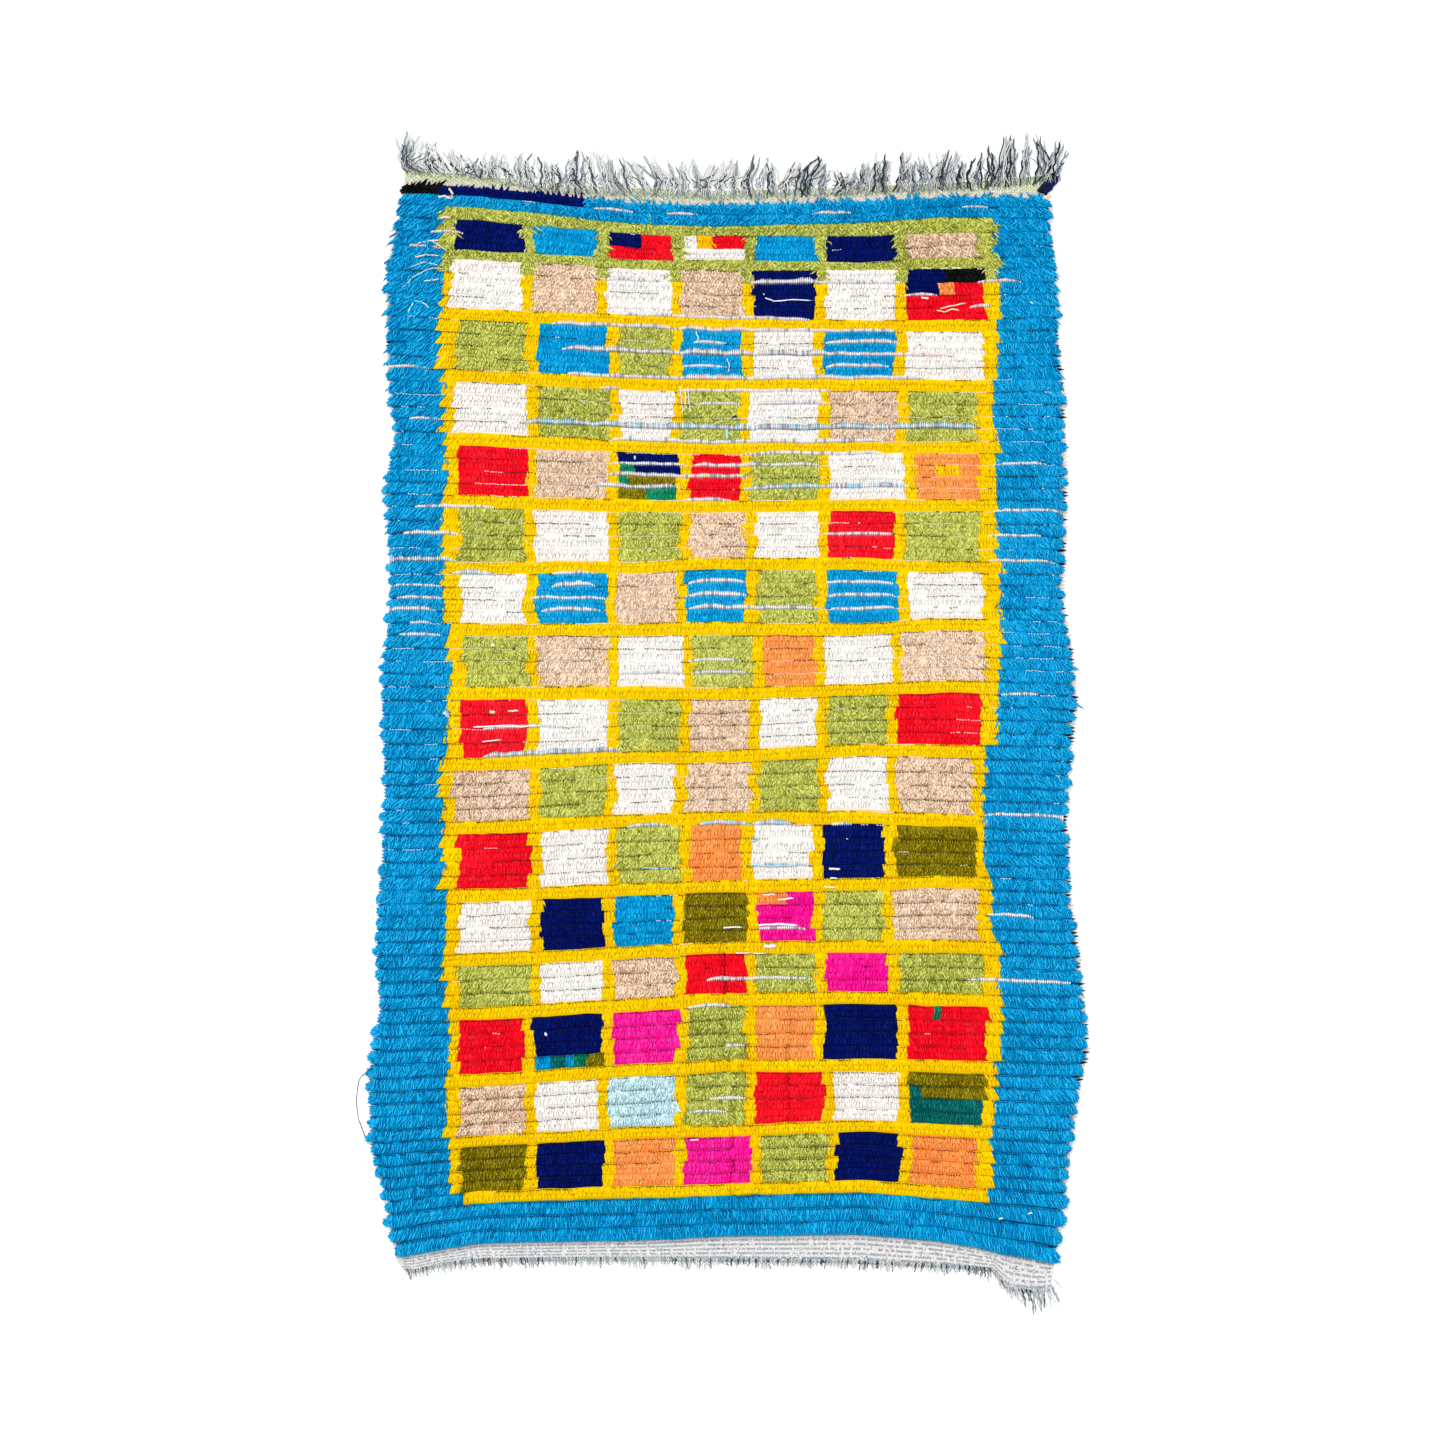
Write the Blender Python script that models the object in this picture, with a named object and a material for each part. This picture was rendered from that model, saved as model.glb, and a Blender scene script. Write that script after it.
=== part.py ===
# A boucherouite rug, lying flat and seen from above: a lumpy pile slab with a thin woven web at
# each end, and a row of loose warp ends along both webs. Metres, +Z up, head of the rug at +Y.
import math
import random

import bmesh
import bpy
import numpy as np
from mathutils import Vector

COLLECTION = "boucherouite_rug"
ROWS = 83
GROUND_THICK = 0.0032
WEB_RISER = 0.0015
VALLEY_LOWER, CREST_LOWER, SHOULDER_LOWER = 0.0130, 0.0200, 0.0180
VALLEY_UPPER, CREST_UPPER, SHOULDER_UPPER = 0.0095, 0.0172, 0.0155
CREST_AT, SHOULDER_AT = 0.40, 0.78
LUMP = 0.0022
ROW_WANDER = 0.0015
RIM_VALLEY, RIM_CREST, RIM_TIP = 0.0050, 0.0085, 0.0030
LOCK_MIN, LOCK_MAX = 0.0060, 0.0200
CREASE_DEPTH, CREASE_TOP, CREASE_END = 0.0045, -0.40, -0.80
PIECE_GAP = 0.0003
FRINGE_WEB = 0.0070
FRINGE_THICK = 0.0030
HEAD_PITCH, FOOT_PITCH = 0.0067, 0.0155
STRAND_TIP_WIDTH, STRAND_TIP_THICK = 0.0018, 0.0014

# Where a row boundary runs across the rug: the row's number counted from the head, then its Y at
# five places from the left edge to the right.
ROW_PLACES_X = (-0.629, -0.467, -0.011, 0.492, 0.635)
ROW_LINES = (
    # row, far_left, left, middle, right, far_right
    (0.0, 1.028, 1.007, 0.980, 1.005, 1.013),
    (10.5, 0.789, 0.775, 0.756, 0.752, 0.756),
    (20.5, 0.540, 0.536, 0.521, 0.519, 0.521),
    (30.5, 0.293, 0.291, 0.298, 0.291, 0.289),
    (40.5, 0.055, 0.057, 0.057, 0.063, 0.061),
    (50.5, -0.203, -0.201, -0.186, -0.192, -0.198),
    (60.5, -0.456, -0.452, -0.429, -0.428, -0.433),
    (69.5, -0.688, -0.678, -0.657, -0.656, -0.659),
    (79.5, -0.922, -0.903, -0.889, -0.906, -0.914),
    (83.0, -1.032, -1.015, -0.977, -1.030, -1.037),
)

# The two side edges of the ground, without the locks that stand out of them.
SIDE_EDGES = (
    # y, left, right
    (1.010, -0.619, 0.616),
    (0.935, -0.633, 0.619),
    (0.878, -0.648, 0.631),
    (0.802, -0.650, 0.633),
    (0.707, -0.646, 0.635),
    (0.612, -0.636, 0.644),
    (0.555, -0.631, 0.642),
    (0.479, -0.640, 0.646),
    (0.346, -0.646, 0.646),
    (0.232, -0.641, 0.640),
    (0.137, -0.652, 0.654),
    (0.042, -0.659, 0.666),
    (-0.055, -0.655, 0.657),
    (-0.148, -0.644, 0.648),
    (-0.262, -0.652, 0.650),
    (-0.338, -0.659, 0.654),
    (-0.433, -0.664, 0.670),
    (-0.547, -0.663, 0.682),
    (-0.623, -0.678, 0.688),
    (-0.699, -0.674, 0.675),
    (-0.813, -0.671, 0.661),
    (-0.908, -0.654, 0.648),
    (-0.984, -0.635, 0.638),
    (-1.018, -0.616, 0.631),
)

# Where the flat woven web ends, at the head and at the foot. The foot has a longer piece at its
# right-hand corner.
HEAD_WEB_X = (-0.616, -0.467, -0.300, -0.011, 0.250, 0.492, 0.640)
HEAD_WEB_Y = (1.052, 1.040, 1.022, 1.011, 1.019, 1.030, 1.044)
FOOT_WEB_X = (-0.620, -0.467, -0.239, -0.011, 0.236, 0.425, 0.511, 0.533, 0.580, 0.618, 0.632)
FOOT_WEB_Y = (-1.041, -1.037, -1.030, -1.028, -1.031, -1.040, -1.047, -1.082, -1.088, -1.084, -1.050)

# The head fringe: where the tips reach and how far they lean along the rug, root by root.
HEAD_TIPS = (
    # root_x, tip_y, lean
    (-0.616, 1.118, -0.014),
    (-0.560, 1.117, -0.016),
    (-0.500, 1.098, -0.018),
    (-0.486, 1.070, -0.004),
    (-0.470, 1.072, 0.004),
    (-0.455, 1.096, 0.008),
    (-0.400, 1.096, 0.006),
    (-0.330, 1.080, 0.002),
    (-0.300, 1.078, -0.008),
    (-0.200, 1.082, -0.016),
    (-0.120, 1.070, -0.012),
    (-0.080, 1.076, 0.000),
    (0.060, 1.084, 0.004),
    (0.110, 1.062, 0.002),
    (0.155, 1.092, 0.006),
    (0.185, 1.054, 0.004),
    (0.235, 1.050, 0.004),
    (0.260, 1.076, 0.006),
    (0.330, 1.088, 0.012),
    (0.355, 1.078, 0.004),
    (0.420, 1.092, 0.002),
    (0.460, 1.070, 0.004),
    (0.500, 1.112, 0.010),
    (0.560, 1.130, 0.008),
    (0.590, 1.122, 0.004),
    (0.640, 1.104, 0.006),
)

# The foot's frayed ends: how long they are and how far they lean, along the rug.
FOOT_TIPS = (
    # root_x, length, lean
    (-0.620, 0.014, 0.004),
    (-0.560, 0.007, 0.000),
    (-0.200, 0.009, 0.002),
    (0.100, 0.007, -0.002),
    (0.480, 0.010, 0.000),
    (0.535, 0.018, 0.008),
    (0.570, 0.030, 0.014),
    (0.600, 0.026, 0.010),
    (0.632, 0.034, 0.016),
)


def row_line_y(row, x):
    """Y of a row boundary, given as a row count from the head, at this X."""
    rows = [line[0] for line in ROW_LINES]
    across = [np.interp(row, rows, [line[k] for line in ROW_LINES]) for k in range(1, 6)]
    slope_left = (across[1] - across[0]) / (ROW_PLACES_X[1] - ROW_PLACES_X[0])
    slope_right = (across[4] - across[3]) / (ROW_PLACES_X[4] - ROW_PLACES_X[3])
    if x < ROW_PLACES_X[0]:
        return across[0] + slope_left * (x - ROW_PLACES_X[0])
    if x > ROW_PLACES_X[4]:
        return across[4] + slope_right * (x - ROW_PLACES_X[4])
    return float(np.interp(x, ROW_PLACES_X, across))


def side_edge_x(y, side):
    """X of the ground's left (side 0) or right (side 1) edge at this Y."""
    table = sorted(SIDE_EDGES)
    return float(np.interp(y, [line[0] for line in table], [line[1 + side] for line in table]))


def blend(low, high, share):
    return low + (high - low) * share


def new_object(name, bm, colour):
    """Turns the bmesh into a node with a fabric material of its own."""
    bmesh.ops.recalc_face_normals(bm, faces=bm.faces)
    mesh = bpy.data.meshes.new(name)
    bm.to_mesh(mesh)
    bm.free()
    material = bpy.data.materials.new(name + "_fabric")
    material.use_nodes = True
    shader = material.node_tree.nodes["Principled BSDF"]
    shader.inputs["Base Color"].default_value = (*colour, 1.0)
    shader.inputs["Roughness"].default_value = 0.95
    shader.inputs["Sheen Weight"].default_value = 0.25
    mesh.materials.append(material)
    obj = bpy.data.objects.new(name, mesh)
    rug.objects.link(obj)
    return obj


def rug_body():
    """The pile slab with its end webs: one grid, shaped row by row, closed with a flat underside."""
    rng = random.Random(83)
    columns = (
        0.0, 0.018, 0.07, 0.14, 0.22, 0.30, 0.38, 0.455, 0.489, 0.523,
        0.60, 0.68, 0.76, 0.84, 0.895, 0.925, 0.982, 1.0,
    )
    lines = [("head_web", 0.0), ("head_foot_of_web", 0.0)]
    for row in range(ROWS):
        lines += [("valley", row), ("crest", row + CREST_AT), ("shoulder", row + SHOULDER_AT)]
    lines += [("last", ROWS), ("foot_top_of_web", ROWS), ("foot_web", ROWS)]

    bm = bmesh.new()
    across, along = len(columns) - 1, len(lines) - 1
    bmesh.ops.create_grid(bm, x_segments=across, y_segments=along, size=0.5)
    place = {
        (round((vert.co.x + 0.5) * across), round((0.5 - vert.co.y) * along)): vert
        for vert in bm.verts
    }
    for j, (kind, row) in enumerate(lines):
        middle_y = row_line_y(row, 0.0)
        lock = [rng.uniform(LOCK_MIN, LOCK_MAX), rng.uniform(LOCK_MIN, LOCK_MAX)]
        for i, share in enumerate(columns):
            rim = i in (0, across)
            side = 0 if i == 0 else 1
            y_left = row_line_y(row, -0.65)
            y_right = row_line_y(row, 0.65)
            left, right = side_edge_x(y_left, 0), side_edge_x(y_right, 1)
            x = blend(left, right, share)
            y = row_line_y(row, x)
            upper = min(1.0, max(0.0, (middle_y + 0.1) / 0.8))
            crease = 0.0
            if CREASE_END < middle_y < CREASE_TOP and columns[i] == 0.489:
                crease = CREASE_DEPTH
            if kind == "head_web":
                y = float(np.interp(x, HEAD_WEB_X, HEAD_WEB_Y))
                z = GROUND_THICK
            elif kind == "foot_web":
                y = float(np.interp(x, FOOT_WEB_X, FOOT_WEB_Y))
                z = GROUND_THICK
            elif kind == "head_foot_of_web":
                y += WEB_RISER
                z = GROUND_THICK
            elif kind == "foot_top_of_web":
                y -= WEB_RISER
                z = GROUND_THICK
            elif kind == "crest":
                z = blend(CREST_LOWER, CREST_UPPER, upper) + rng.uniform(-LUMP, LUMP) - crease
            elif kind == "shoulder":
                z = blend(SHOULDER_LOWER, SHOULDER_UPPER, upper) + rng.uniform(-LUMP, LUMP) - crease
            else:
                z = blend(VALLEY_LOWER, VALLEY_UPPER, upper) + rng.uniform(-LUMP, LUMP) / 2 - crease
            piled = kind in ("valley", "crest", "shoulder", "last")
            if piled and not rim:
                y += rng.uniform(-ROW_WANDER, ROW_WANDER)
            if piled and rim:
                outward = -1.0 if side == 0 else 1.0
                if kind == "valley" or kind == "last":
                    x -= outward * 0.003
                    z = RIM_VALLEY
                elif kind == "crest":
                    x += outward * 0.4 * lock[side]
                    z = RIM_CREST
                else:
                    x += outward * lock[side]
                    y -= 0.35 * lock[side]
                    z = RIM_TIP
            place[i, j].co = (x, y, z)
    head_edge = [(place[i, 0].co.x, place[i, 0].co.y) for i in range(across + 1)]
    foot_edge = [(place[i, along].co.x, place[i, along].co.y) for i in range(across + 1)]
    rim_edges = [edge for edge in bm.edges if edge.is_boundary]
    walls = bmesh.ops.extrude_edge_only(bm, edges=rim_edges)["geom"]
    for item in walls:
        if isinstance(item, bmesh.types.BMVert):
            item.co.z = 0.0
    foot_edges = [edge for edge in bm.edges if edge.is_boundary]
    bmesh.ops.holes_fill(bm, edges=foot_edges, sides=0)
    new_object("rug_body", bm, (0.0, 0.27, 0.55))
    return head_edge, foot_edge


def fringe(name, edge, pitch, away, path, colour):
    """A narrow web along the rug's end with loose strands pulled out of its outer edge.

    edge is the line of the rug's end, away is +1 at the head and -1 at the foot, and path gives a
    strand's points, from its root outwards.
    """
    stations = []
    for (x_from, y_from), (x_to, y_to) in zip(edge, edge[1:]):
        parts = max(1, round((x_to - x_from) / pitch))
        gap = PIECE_GAP * math.hypot(1.0, (y_to - y_from) / (x_to - x_from))
        for part in range(parts):
            share = part / parts
            stations.append((blend(x_from, x_to, share), blend(y_from, y_to, share) + away * gap))
    stations.append((edge[-1][0], edge[-1][1] + away * PIECE_GAP))

    bm = bmesh.new()
    segments = len(stations) - 1
    bmesh.ops.create_grid(bm, x_segments=segments, y_segments=1, size=0.5)
    for vert in bm.verts:
        x, y = stations[round((vert.co.x + 0.5) * segments)]
        if vert.co.y * away > 0:
            y += away * FRINGE_WEB
        vert.co = (x, y, 0.0)
    raised = bmesh.ops.extrude_face_region(bm, geom=bm.faces[:])["geom"]
    for item in raised:
        if isinstance(item, bmesh.types.BMVert):
            item.co.z = FRINGE_THICK
    bmesh.ops.recalc_face_normals(bm, faces=bm.faces)

    outer = [
        face for face in bm.faces
        if face.normal.y * away > 0.3 and abs(face.normal.z) < 0.5
    ]
    outer.sort(key=lambda face: face.calc_center_median().x)
    for index, face in enumerate(outer[1::2]):
        centre = face.calc_center_median()
        root = Vector((centre.x, centre.y, 0.0))
        points = [root] + path(index, root)
        root_width = max(v.co.x for v in face.verts) - min(v.co.x for v in face.verts)
        for step in range(1, len(points)):
            share = step / (len(points) - 1)
            forward = (points[step] - points[step - 1]).normalized()
            sideways = Vector((forward.y, -forward.x, 0.0)) * away
            width = blend(root_width, STRAND_TIP_WIDTH, share ** 1.2)
            thick = blend(FRINGE_THICK, STRAND_TIP_THICK, share)
            middle_x = face.calc_center_median().x
            middle_z = face.calc_center_median().z
            face = bmesh.ops.extrude_discrete_faces(bm, faces=[face])["faces"][0]
            for vert in face.verts:
                right = vert.co.x > middle_x
                top = vert.co.z > middle_z
                at = points[step] + sideways * (width / 2 if right else -width / 2)
                vert.co = (at.x, at.y, thick if top else 0.0)
    new_object(name, bm, colour)
    return len(outer[1::2])


def head_path(index, root):
    rng = random.Random(1000 + index)
    xs = [line[0] for line in HEAD_TIPS]
    tip_y = float(np.interp(root.x, xs, [line[1] for line in HEAD_TIPS]))
    lean = float(np.interp(root.x, xs, [line[2] for line in HEAD_TIPS]))
    length = max(0.020, tip_y - root.y) * rng.uniform(0.78, 1.0)
    bend = rng.uniform(-0.0014, 0.0014)
    return [
        root + Vector((0.15 * lean + bend, 0.35 * length, 0.0)),
        root + Vector((0.50 * lean - bend, 0.70 * length, 0.0)),
        root + Vector((lean, length, 0.0)),
    ]


def foot_path(index, root):
    rng = random.Random(2000 + index)
    xs = [line[0] for line in FOOT_TIPS]
    length = float(np.interp(root.x, xs, [line[1] for line in FOOT_TIPS])) * rng.uniform(0.6, 1.0)
    lean = float(np.interp(root.x, xs, [line[2] for line in FOOT_TIPS]))
    return [
        root + Vector((0.4 * lean, -0.5 * length, 0.0)),
        root + Vector((lean, -length, 0.0)),
    ]


for old in list(bpy.data.objects):
    bpy.data.objects.remove(old, do_unlink=True)
rug = bpy.data.collections.new(COLLECTION)
bpy.context.scene.collection.children.link(rug)

head_edge, foot_edge = rug_body()
fringe("head_fringe", head_edge, HEAD_PITCH, 1, head_path, (0.62, 0.65, 0.64))
fringe("foot_fringe", foot_edge, FOOT_PITCH, -1, foot_path, (0.60, 0.58, 0.58))
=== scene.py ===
# The looks of a boucherouite rug lying flat, seen from straight above. The row frame is the part's:
# metres, +Y towards the head fringe, +Z up, the floor at Z 0.
import math

import bmesh
import bpy
import numpy as np
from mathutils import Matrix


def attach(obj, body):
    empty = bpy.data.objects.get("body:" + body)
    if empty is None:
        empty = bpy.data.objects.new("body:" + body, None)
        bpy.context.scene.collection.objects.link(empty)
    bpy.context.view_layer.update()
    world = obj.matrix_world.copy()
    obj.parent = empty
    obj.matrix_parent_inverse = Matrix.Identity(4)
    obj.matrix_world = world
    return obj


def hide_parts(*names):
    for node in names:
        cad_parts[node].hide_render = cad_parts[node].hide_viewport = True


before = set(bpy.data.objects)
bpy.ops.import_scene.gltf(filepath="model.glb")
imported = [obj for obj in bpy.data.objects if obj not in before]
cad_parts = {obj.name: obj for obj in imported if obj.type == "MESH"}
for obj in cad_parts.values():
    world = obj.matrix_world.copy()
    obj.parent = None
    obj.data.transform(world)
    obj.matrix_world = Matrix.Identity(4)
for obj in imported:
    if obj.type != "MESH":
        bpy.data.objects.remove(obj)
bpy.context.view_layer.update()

# Camera. The photograph is taken from straight above the rug's middle, with a long enough lens
# that the rug's sides don't show.
CAMERA_HEIGHT = 5.32
CAMERA_X, CAMERA_Y = -0.0114, 0.0038
PHOTO_WIDTH = 2.744
SENSOR = 36.0

camera_data = bpy.data.cameras.new("camera")
camera_data.type = "PERSP"
camera_data.sensor_width = SENSOR
camera_data.lens = SENSOR * CAMERA_HEIGHT / PHOTO_WIDTH
camera_data.clip_end = 50.0
camera = bpy.data.objects.new("camera", camera_data)
camera.location = (CAMERA_X, CAMERA_Y, CAMERA_HEIGHT)
bpy.context.scene.collection.objects.link(camera)
bpy.context.scene.camera = camera


# Ground cloth. One plain-woven piece of cotton warps and rag and wool weft, made on the loom, with
# a flat web of its own at each end. The pile hides most of it, and its underside is the rug's back.
CLOTH_THICK = 0.003
CLOTH_LIFT = 0.0004
WARP_PITCH, WEFT_PITCH = 0.0042, 0.0031
ROWS = 83

# Y of the row boundaries, counted from the head, at seven places across the rug.
ROW_PLACES_X = (-0.629, -0.467, -0.154, -0.019, 0.257, 0.407, 0.635)
ROW_LINES = (
    # row, far_left, left, inner_left, middle, inner_right, right, far_right
    (0.0, 1.026, 1.018, 0.986, 0.983, 0.993, 0.999, 0.999),
    (1.0, 1.007, 0.998, 0.965, 0.963, 0.966, 0.978, 0.977),
    (2.0, 0.984, 0.977, 0.944, 0.940, 0.948, 0.958, 0.956),
    (3.0, 0.961, 0.952, 0.925, 0.924, 0.922, 0.929, 0.931),
    (4.0, 0.937, 0.925, 0.900, 0.899, 0.897, 0.904, 0.904),
    (5.0, 0.908, 0.894, 0.876, 0.877, 0.871, 0.881, 0.882),
    (6.0, 0.885, 0.878, 0.859, 0.857, 0.858, 0.861, 0.862),
    (7.0, 0.859, 0.853, 0.837, 0.834, 0.832, 0.834, 0.836),
    (10.5, 0.785, 0.773, 0.760, 0.754, 0.752, 0.752, 0.756),
    (15.5, 0.661, 0.657, 0.640, 0.638, 0.640, 0.638, 0.640),
    (20.5, 0.540, 0.536, 0.521, 0.517, 0.519, 0.521, 0.521),
    (25.5, 0.422, 0.418, 0.410, 0.408, 0.412, 0.412, 0.410),
    (30.5, 0.293, 0.291, 0.294, 0.302, 0.300, 0.294, 0.291),
    (35.5, 0.177, 0.175, 0.175, 0.177, 0.175, 0.186, 0.179),
    (40.5, 0.055, 0.055, 0.055, 0.053, 0.061, 0.067, 0.061),
    (45.5, -0.084, -0.082, -0.067, -0.067, -0.053, -0.055, -0.061),
    (50.5, -0.203, -0.201, -0.186, -0.182, -0.182, -0.188, -0.196),
    (55.5, -0.334, -0.331, -0.319, -0.314, -0.310, -0.304, -0.312),
    (60.5, -0.456, -0.452, -0.437, -0.429, -0.427, -0.427, -0.435),
    (64.5, -0.560, -0.555, -0.538, -0.528, -0.524, -0.528, -0.534),
    (69.5, -0.690, -0.682, -0.661, -0.655, -0.654, -0.655, -0.661),
    (74.5, -0.811, -0.798, -0.781, -0.779, -0.768, -0.777, -0.787),
    (79.5, -0.921, -0.902, -0.893, -0.889, -0.882, -0.893, -0.908),
    (83.0, -1.020, -0.992, -0.986, -0.978, -0.974, -0.988, -1.035),
)
SIDE_EDGES = (
    # y, left, right
    (1.052, -0.614, 0.640),
    (1.010, -0.619, 0.616),
    (0.935, -0.633, 0.619),
    (0.878, -0.648, 0.631),
    (0.802, -0.650, 0.633),
    (0.707, -0.650, 0.635),
    (0.612, -0.643, 0.644),
    (0.555, -0.631, 0.642),
    (0.479, -0.648, 0.646),
    (0.346, -0.646, 0.646),
    (0.232, -0.641, 0.640),
    (0.137, -0.653, 0.658),
    (0.042, -0.659, 0.666),
    (-0.055, -0.655, 0.657),
    (-0.148, -0.654, 0.649),
    (-0.262, -0.659, 0.650),
    (-0.338, -0.666, 0.654),
    (-0.433, -0.669, 0.670),
    (-0.547, -0.663, 0.682),
    (-0.623, -0.678, 0.688),
    (-0.699, -0.684, 0.672),
    (-0.813, -0.680, 0.660),
    (-0.908, -0.654, 0.648),
    (-0.970, -0.645, 0.640),
    (-1.000, -0.642, 0.634),
    (-1.026, -0.631, 0.630),
    (-1.060, -0.606, 0.624),
    (-1.085, -0.600, 0.620),
)
HEAD_WEB_X = (-0.616, -0.467, -0.300, -0.011, 0.250, 0.492, 0.640)
HEAD_WEB_Y = (1.052, 1.040, 1.022, 1.011, 1.019, 1.030, 1.044)
FOOT_WEB_X = (
    -0.620, -0.595, -0.540, -0.467, -0.239, -0.011, 0.236, 0.425, 0.511, 0.533, 0.580, 0.618, 0.632,
)
FOOT_WEB_Y = (
    -1.046, -1.050, -1.036, -1.028, -1.026, -1.028, -1.031, -1.040, -1.047, -1.082, -1.088, -1.084,
    -1.050,
)
SIDE_INSET, WEB_INSET = 0.014, 0.004
GRID_ACROSS, GRID_ROWS = 90, 1.5
# Each point of the cloth knows its share of the way from the head web's edge, 0, to the foot
# web's, 1. The weft changes colour by it, and in the foot web its lines show one by one.
FOOT_WEB_SHARE, BEAT_SHARE = 0.987, 0.0019
WEFT_COLOURS = (
    # share, red, green, blue
    (0.0000, 166, 188, 78),
    (0.0058, 176, 192, 92),
    (0.0080, 214, 210, 160),
    (0.0098, 255, 222, 204),
    (0.0300, 226, 200, 182),
    (0.2000, 214, 196, 190),
    (0.5500, 204, 214, 222),
    (0.7000, 178, 184, 190),
    (0.9700, 240, 228, 222),
    (0.9960, 238, 230, 228),
    (1.0000, 176, 190, 204),
)
YARN_WANDER = 0.006
WARP_COVER, COVER_CONTRAST = 0.10, 2.5
# How much painted shade darkens the weave's grooves between crossings, and how dark the foot web's
# dotted weft lines are.
PAINTED_GROOVE_SHADE, BEAT_DARK = 0.22, 0.55


def row_y(row, x):
    """Y of a row boundary at each X, for one row number that may be a fraction."""
    numbers = [line[0] for line in ROW_LINES]
    across = [np.interp(row, numbers, [line[k] for line in ROW_LINES]) for k in range(1, 8)]
    return np.interp(x, ROW_PLACES_X, across)


def edge_x(y, side):
    """X of the ground's left edge, side 0, or right edge, side 1, at each Y."""
    table = sorted(SIDE_EDGES)
    return np.interp(y, [line[0] for line in table], [line[1 + side] for line in table])


def dress(obj, material):
    """Links the piece, gives it its material and lets it ride with the rug."""
    bpy.context.scene.collection.objects.link(obj)
    obj.data.materials.append(material)
    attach(obj, "root")
    return obj


class Nodes:
    """Short calls for building a material's nodes."""

    def __init__(self, name):
        self.material = bpy.data.materials.new(name)
        self.material.use_nodes = True
        self.tree = self.material.node_tree
        self.shader = self.tree.nodes["Principled BSDF"]

    def add(self, kind, inputs=None, **settings):
        """A new node with its settings, and a value or a link for each input that is named."""
        node = self.tree.nodes.new(kind)
        for key, value in settings.items():
            setattr(node, key, value)
        for key, value in (inputs or {}).items():
            self.put(node.inputs[key], value)
        return node

    def put(self, socket, value):
        if isinstance(value, bpy.types.NodeSocket):
            self.tree.links.new(value, socket)
        else:
            socket.default_value = value

    def math(self, operation, *values, clamp=False):
        node = self.add("ShaderNodeMath", operation=operation, use_clamp=clamp)
        for socket, value in zip(node.inputs, values):
            self.put(socket, value)
        return node.outputs[0]

    def noise(self, vector, scale, detail=2.0, roughness=0.5):
        inputs = {"Vector": vector, "Scale": scale, "Detail": detail, "Roughness": roughness}
        return self.add("ShaderNodeTexNoise", inputs).outputs["Fac"]

    def scaled(self, vector, scale):
        inputs = {"Vector": vector, "Scale": scale}
        return self.add("ShaderNodeMapping", inputs).outputs["Vector"]

    def ramp(self, fac, stops):
        node = self.add("ShaderNodeValToRGB", {"Fac": fac})
        elements = node.color_ramp.elements
        while len(elements) < len(stops):
            elements.new(0.5)
        for element, (place, colour) in zip(elements, stops):
            element.position = place
            element.color = (*colour, 1.0)
        return node.outputs["Color"]

    def mix(self, fac, a, b, blend="MIX"):
        node = self.add("ShaderNodeMix", data_type="RGBA", blend_type=blend)
        self.put(node.inputs["Factor"], fac)
        for socket, value in ((node.inputs[6], a), (node.inputs[7], b)):
            self.put(socket, (*value, 1.0) if isinstance(value, tuple) else value)
        return node.outputs[2]

    def attribute(self, name):
        return self.add("ShaderNodeAttribute", attribute_name=name).outputs["Fac"]

    def finish(self, colour, roughness, specular):
        """The last links of a dull yarn: its colour, and how little it shines."""
        self.put(self.shader.inputs["Base Color"], colour)
        self.shader.inputs["Roughness"].default_value = roughness
        self.shader.inputs["Specular IOR Level"].default_value = specular
        return self.material

    def bump(self, height, strength, distance):
        inputs = {"Height": height, "Strength": strength, "Distance": distance}
        normal = self.add("ShaderNodeBump", inputs).outputs["Normal"]
        self.tree.links.new(normal, self.shader.inputs["Normal"])


def linear(red, green, blue):
    """A screen colour from 0 to 255 as the linear values that a shader takes."""
    return tuple(
        c / 12.92 if c <= 0.04045 else ((c + 0.055) / 1.055) ** 2.4
        for c in (red / 255, green / 255, blue / 255)
    )


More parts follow.
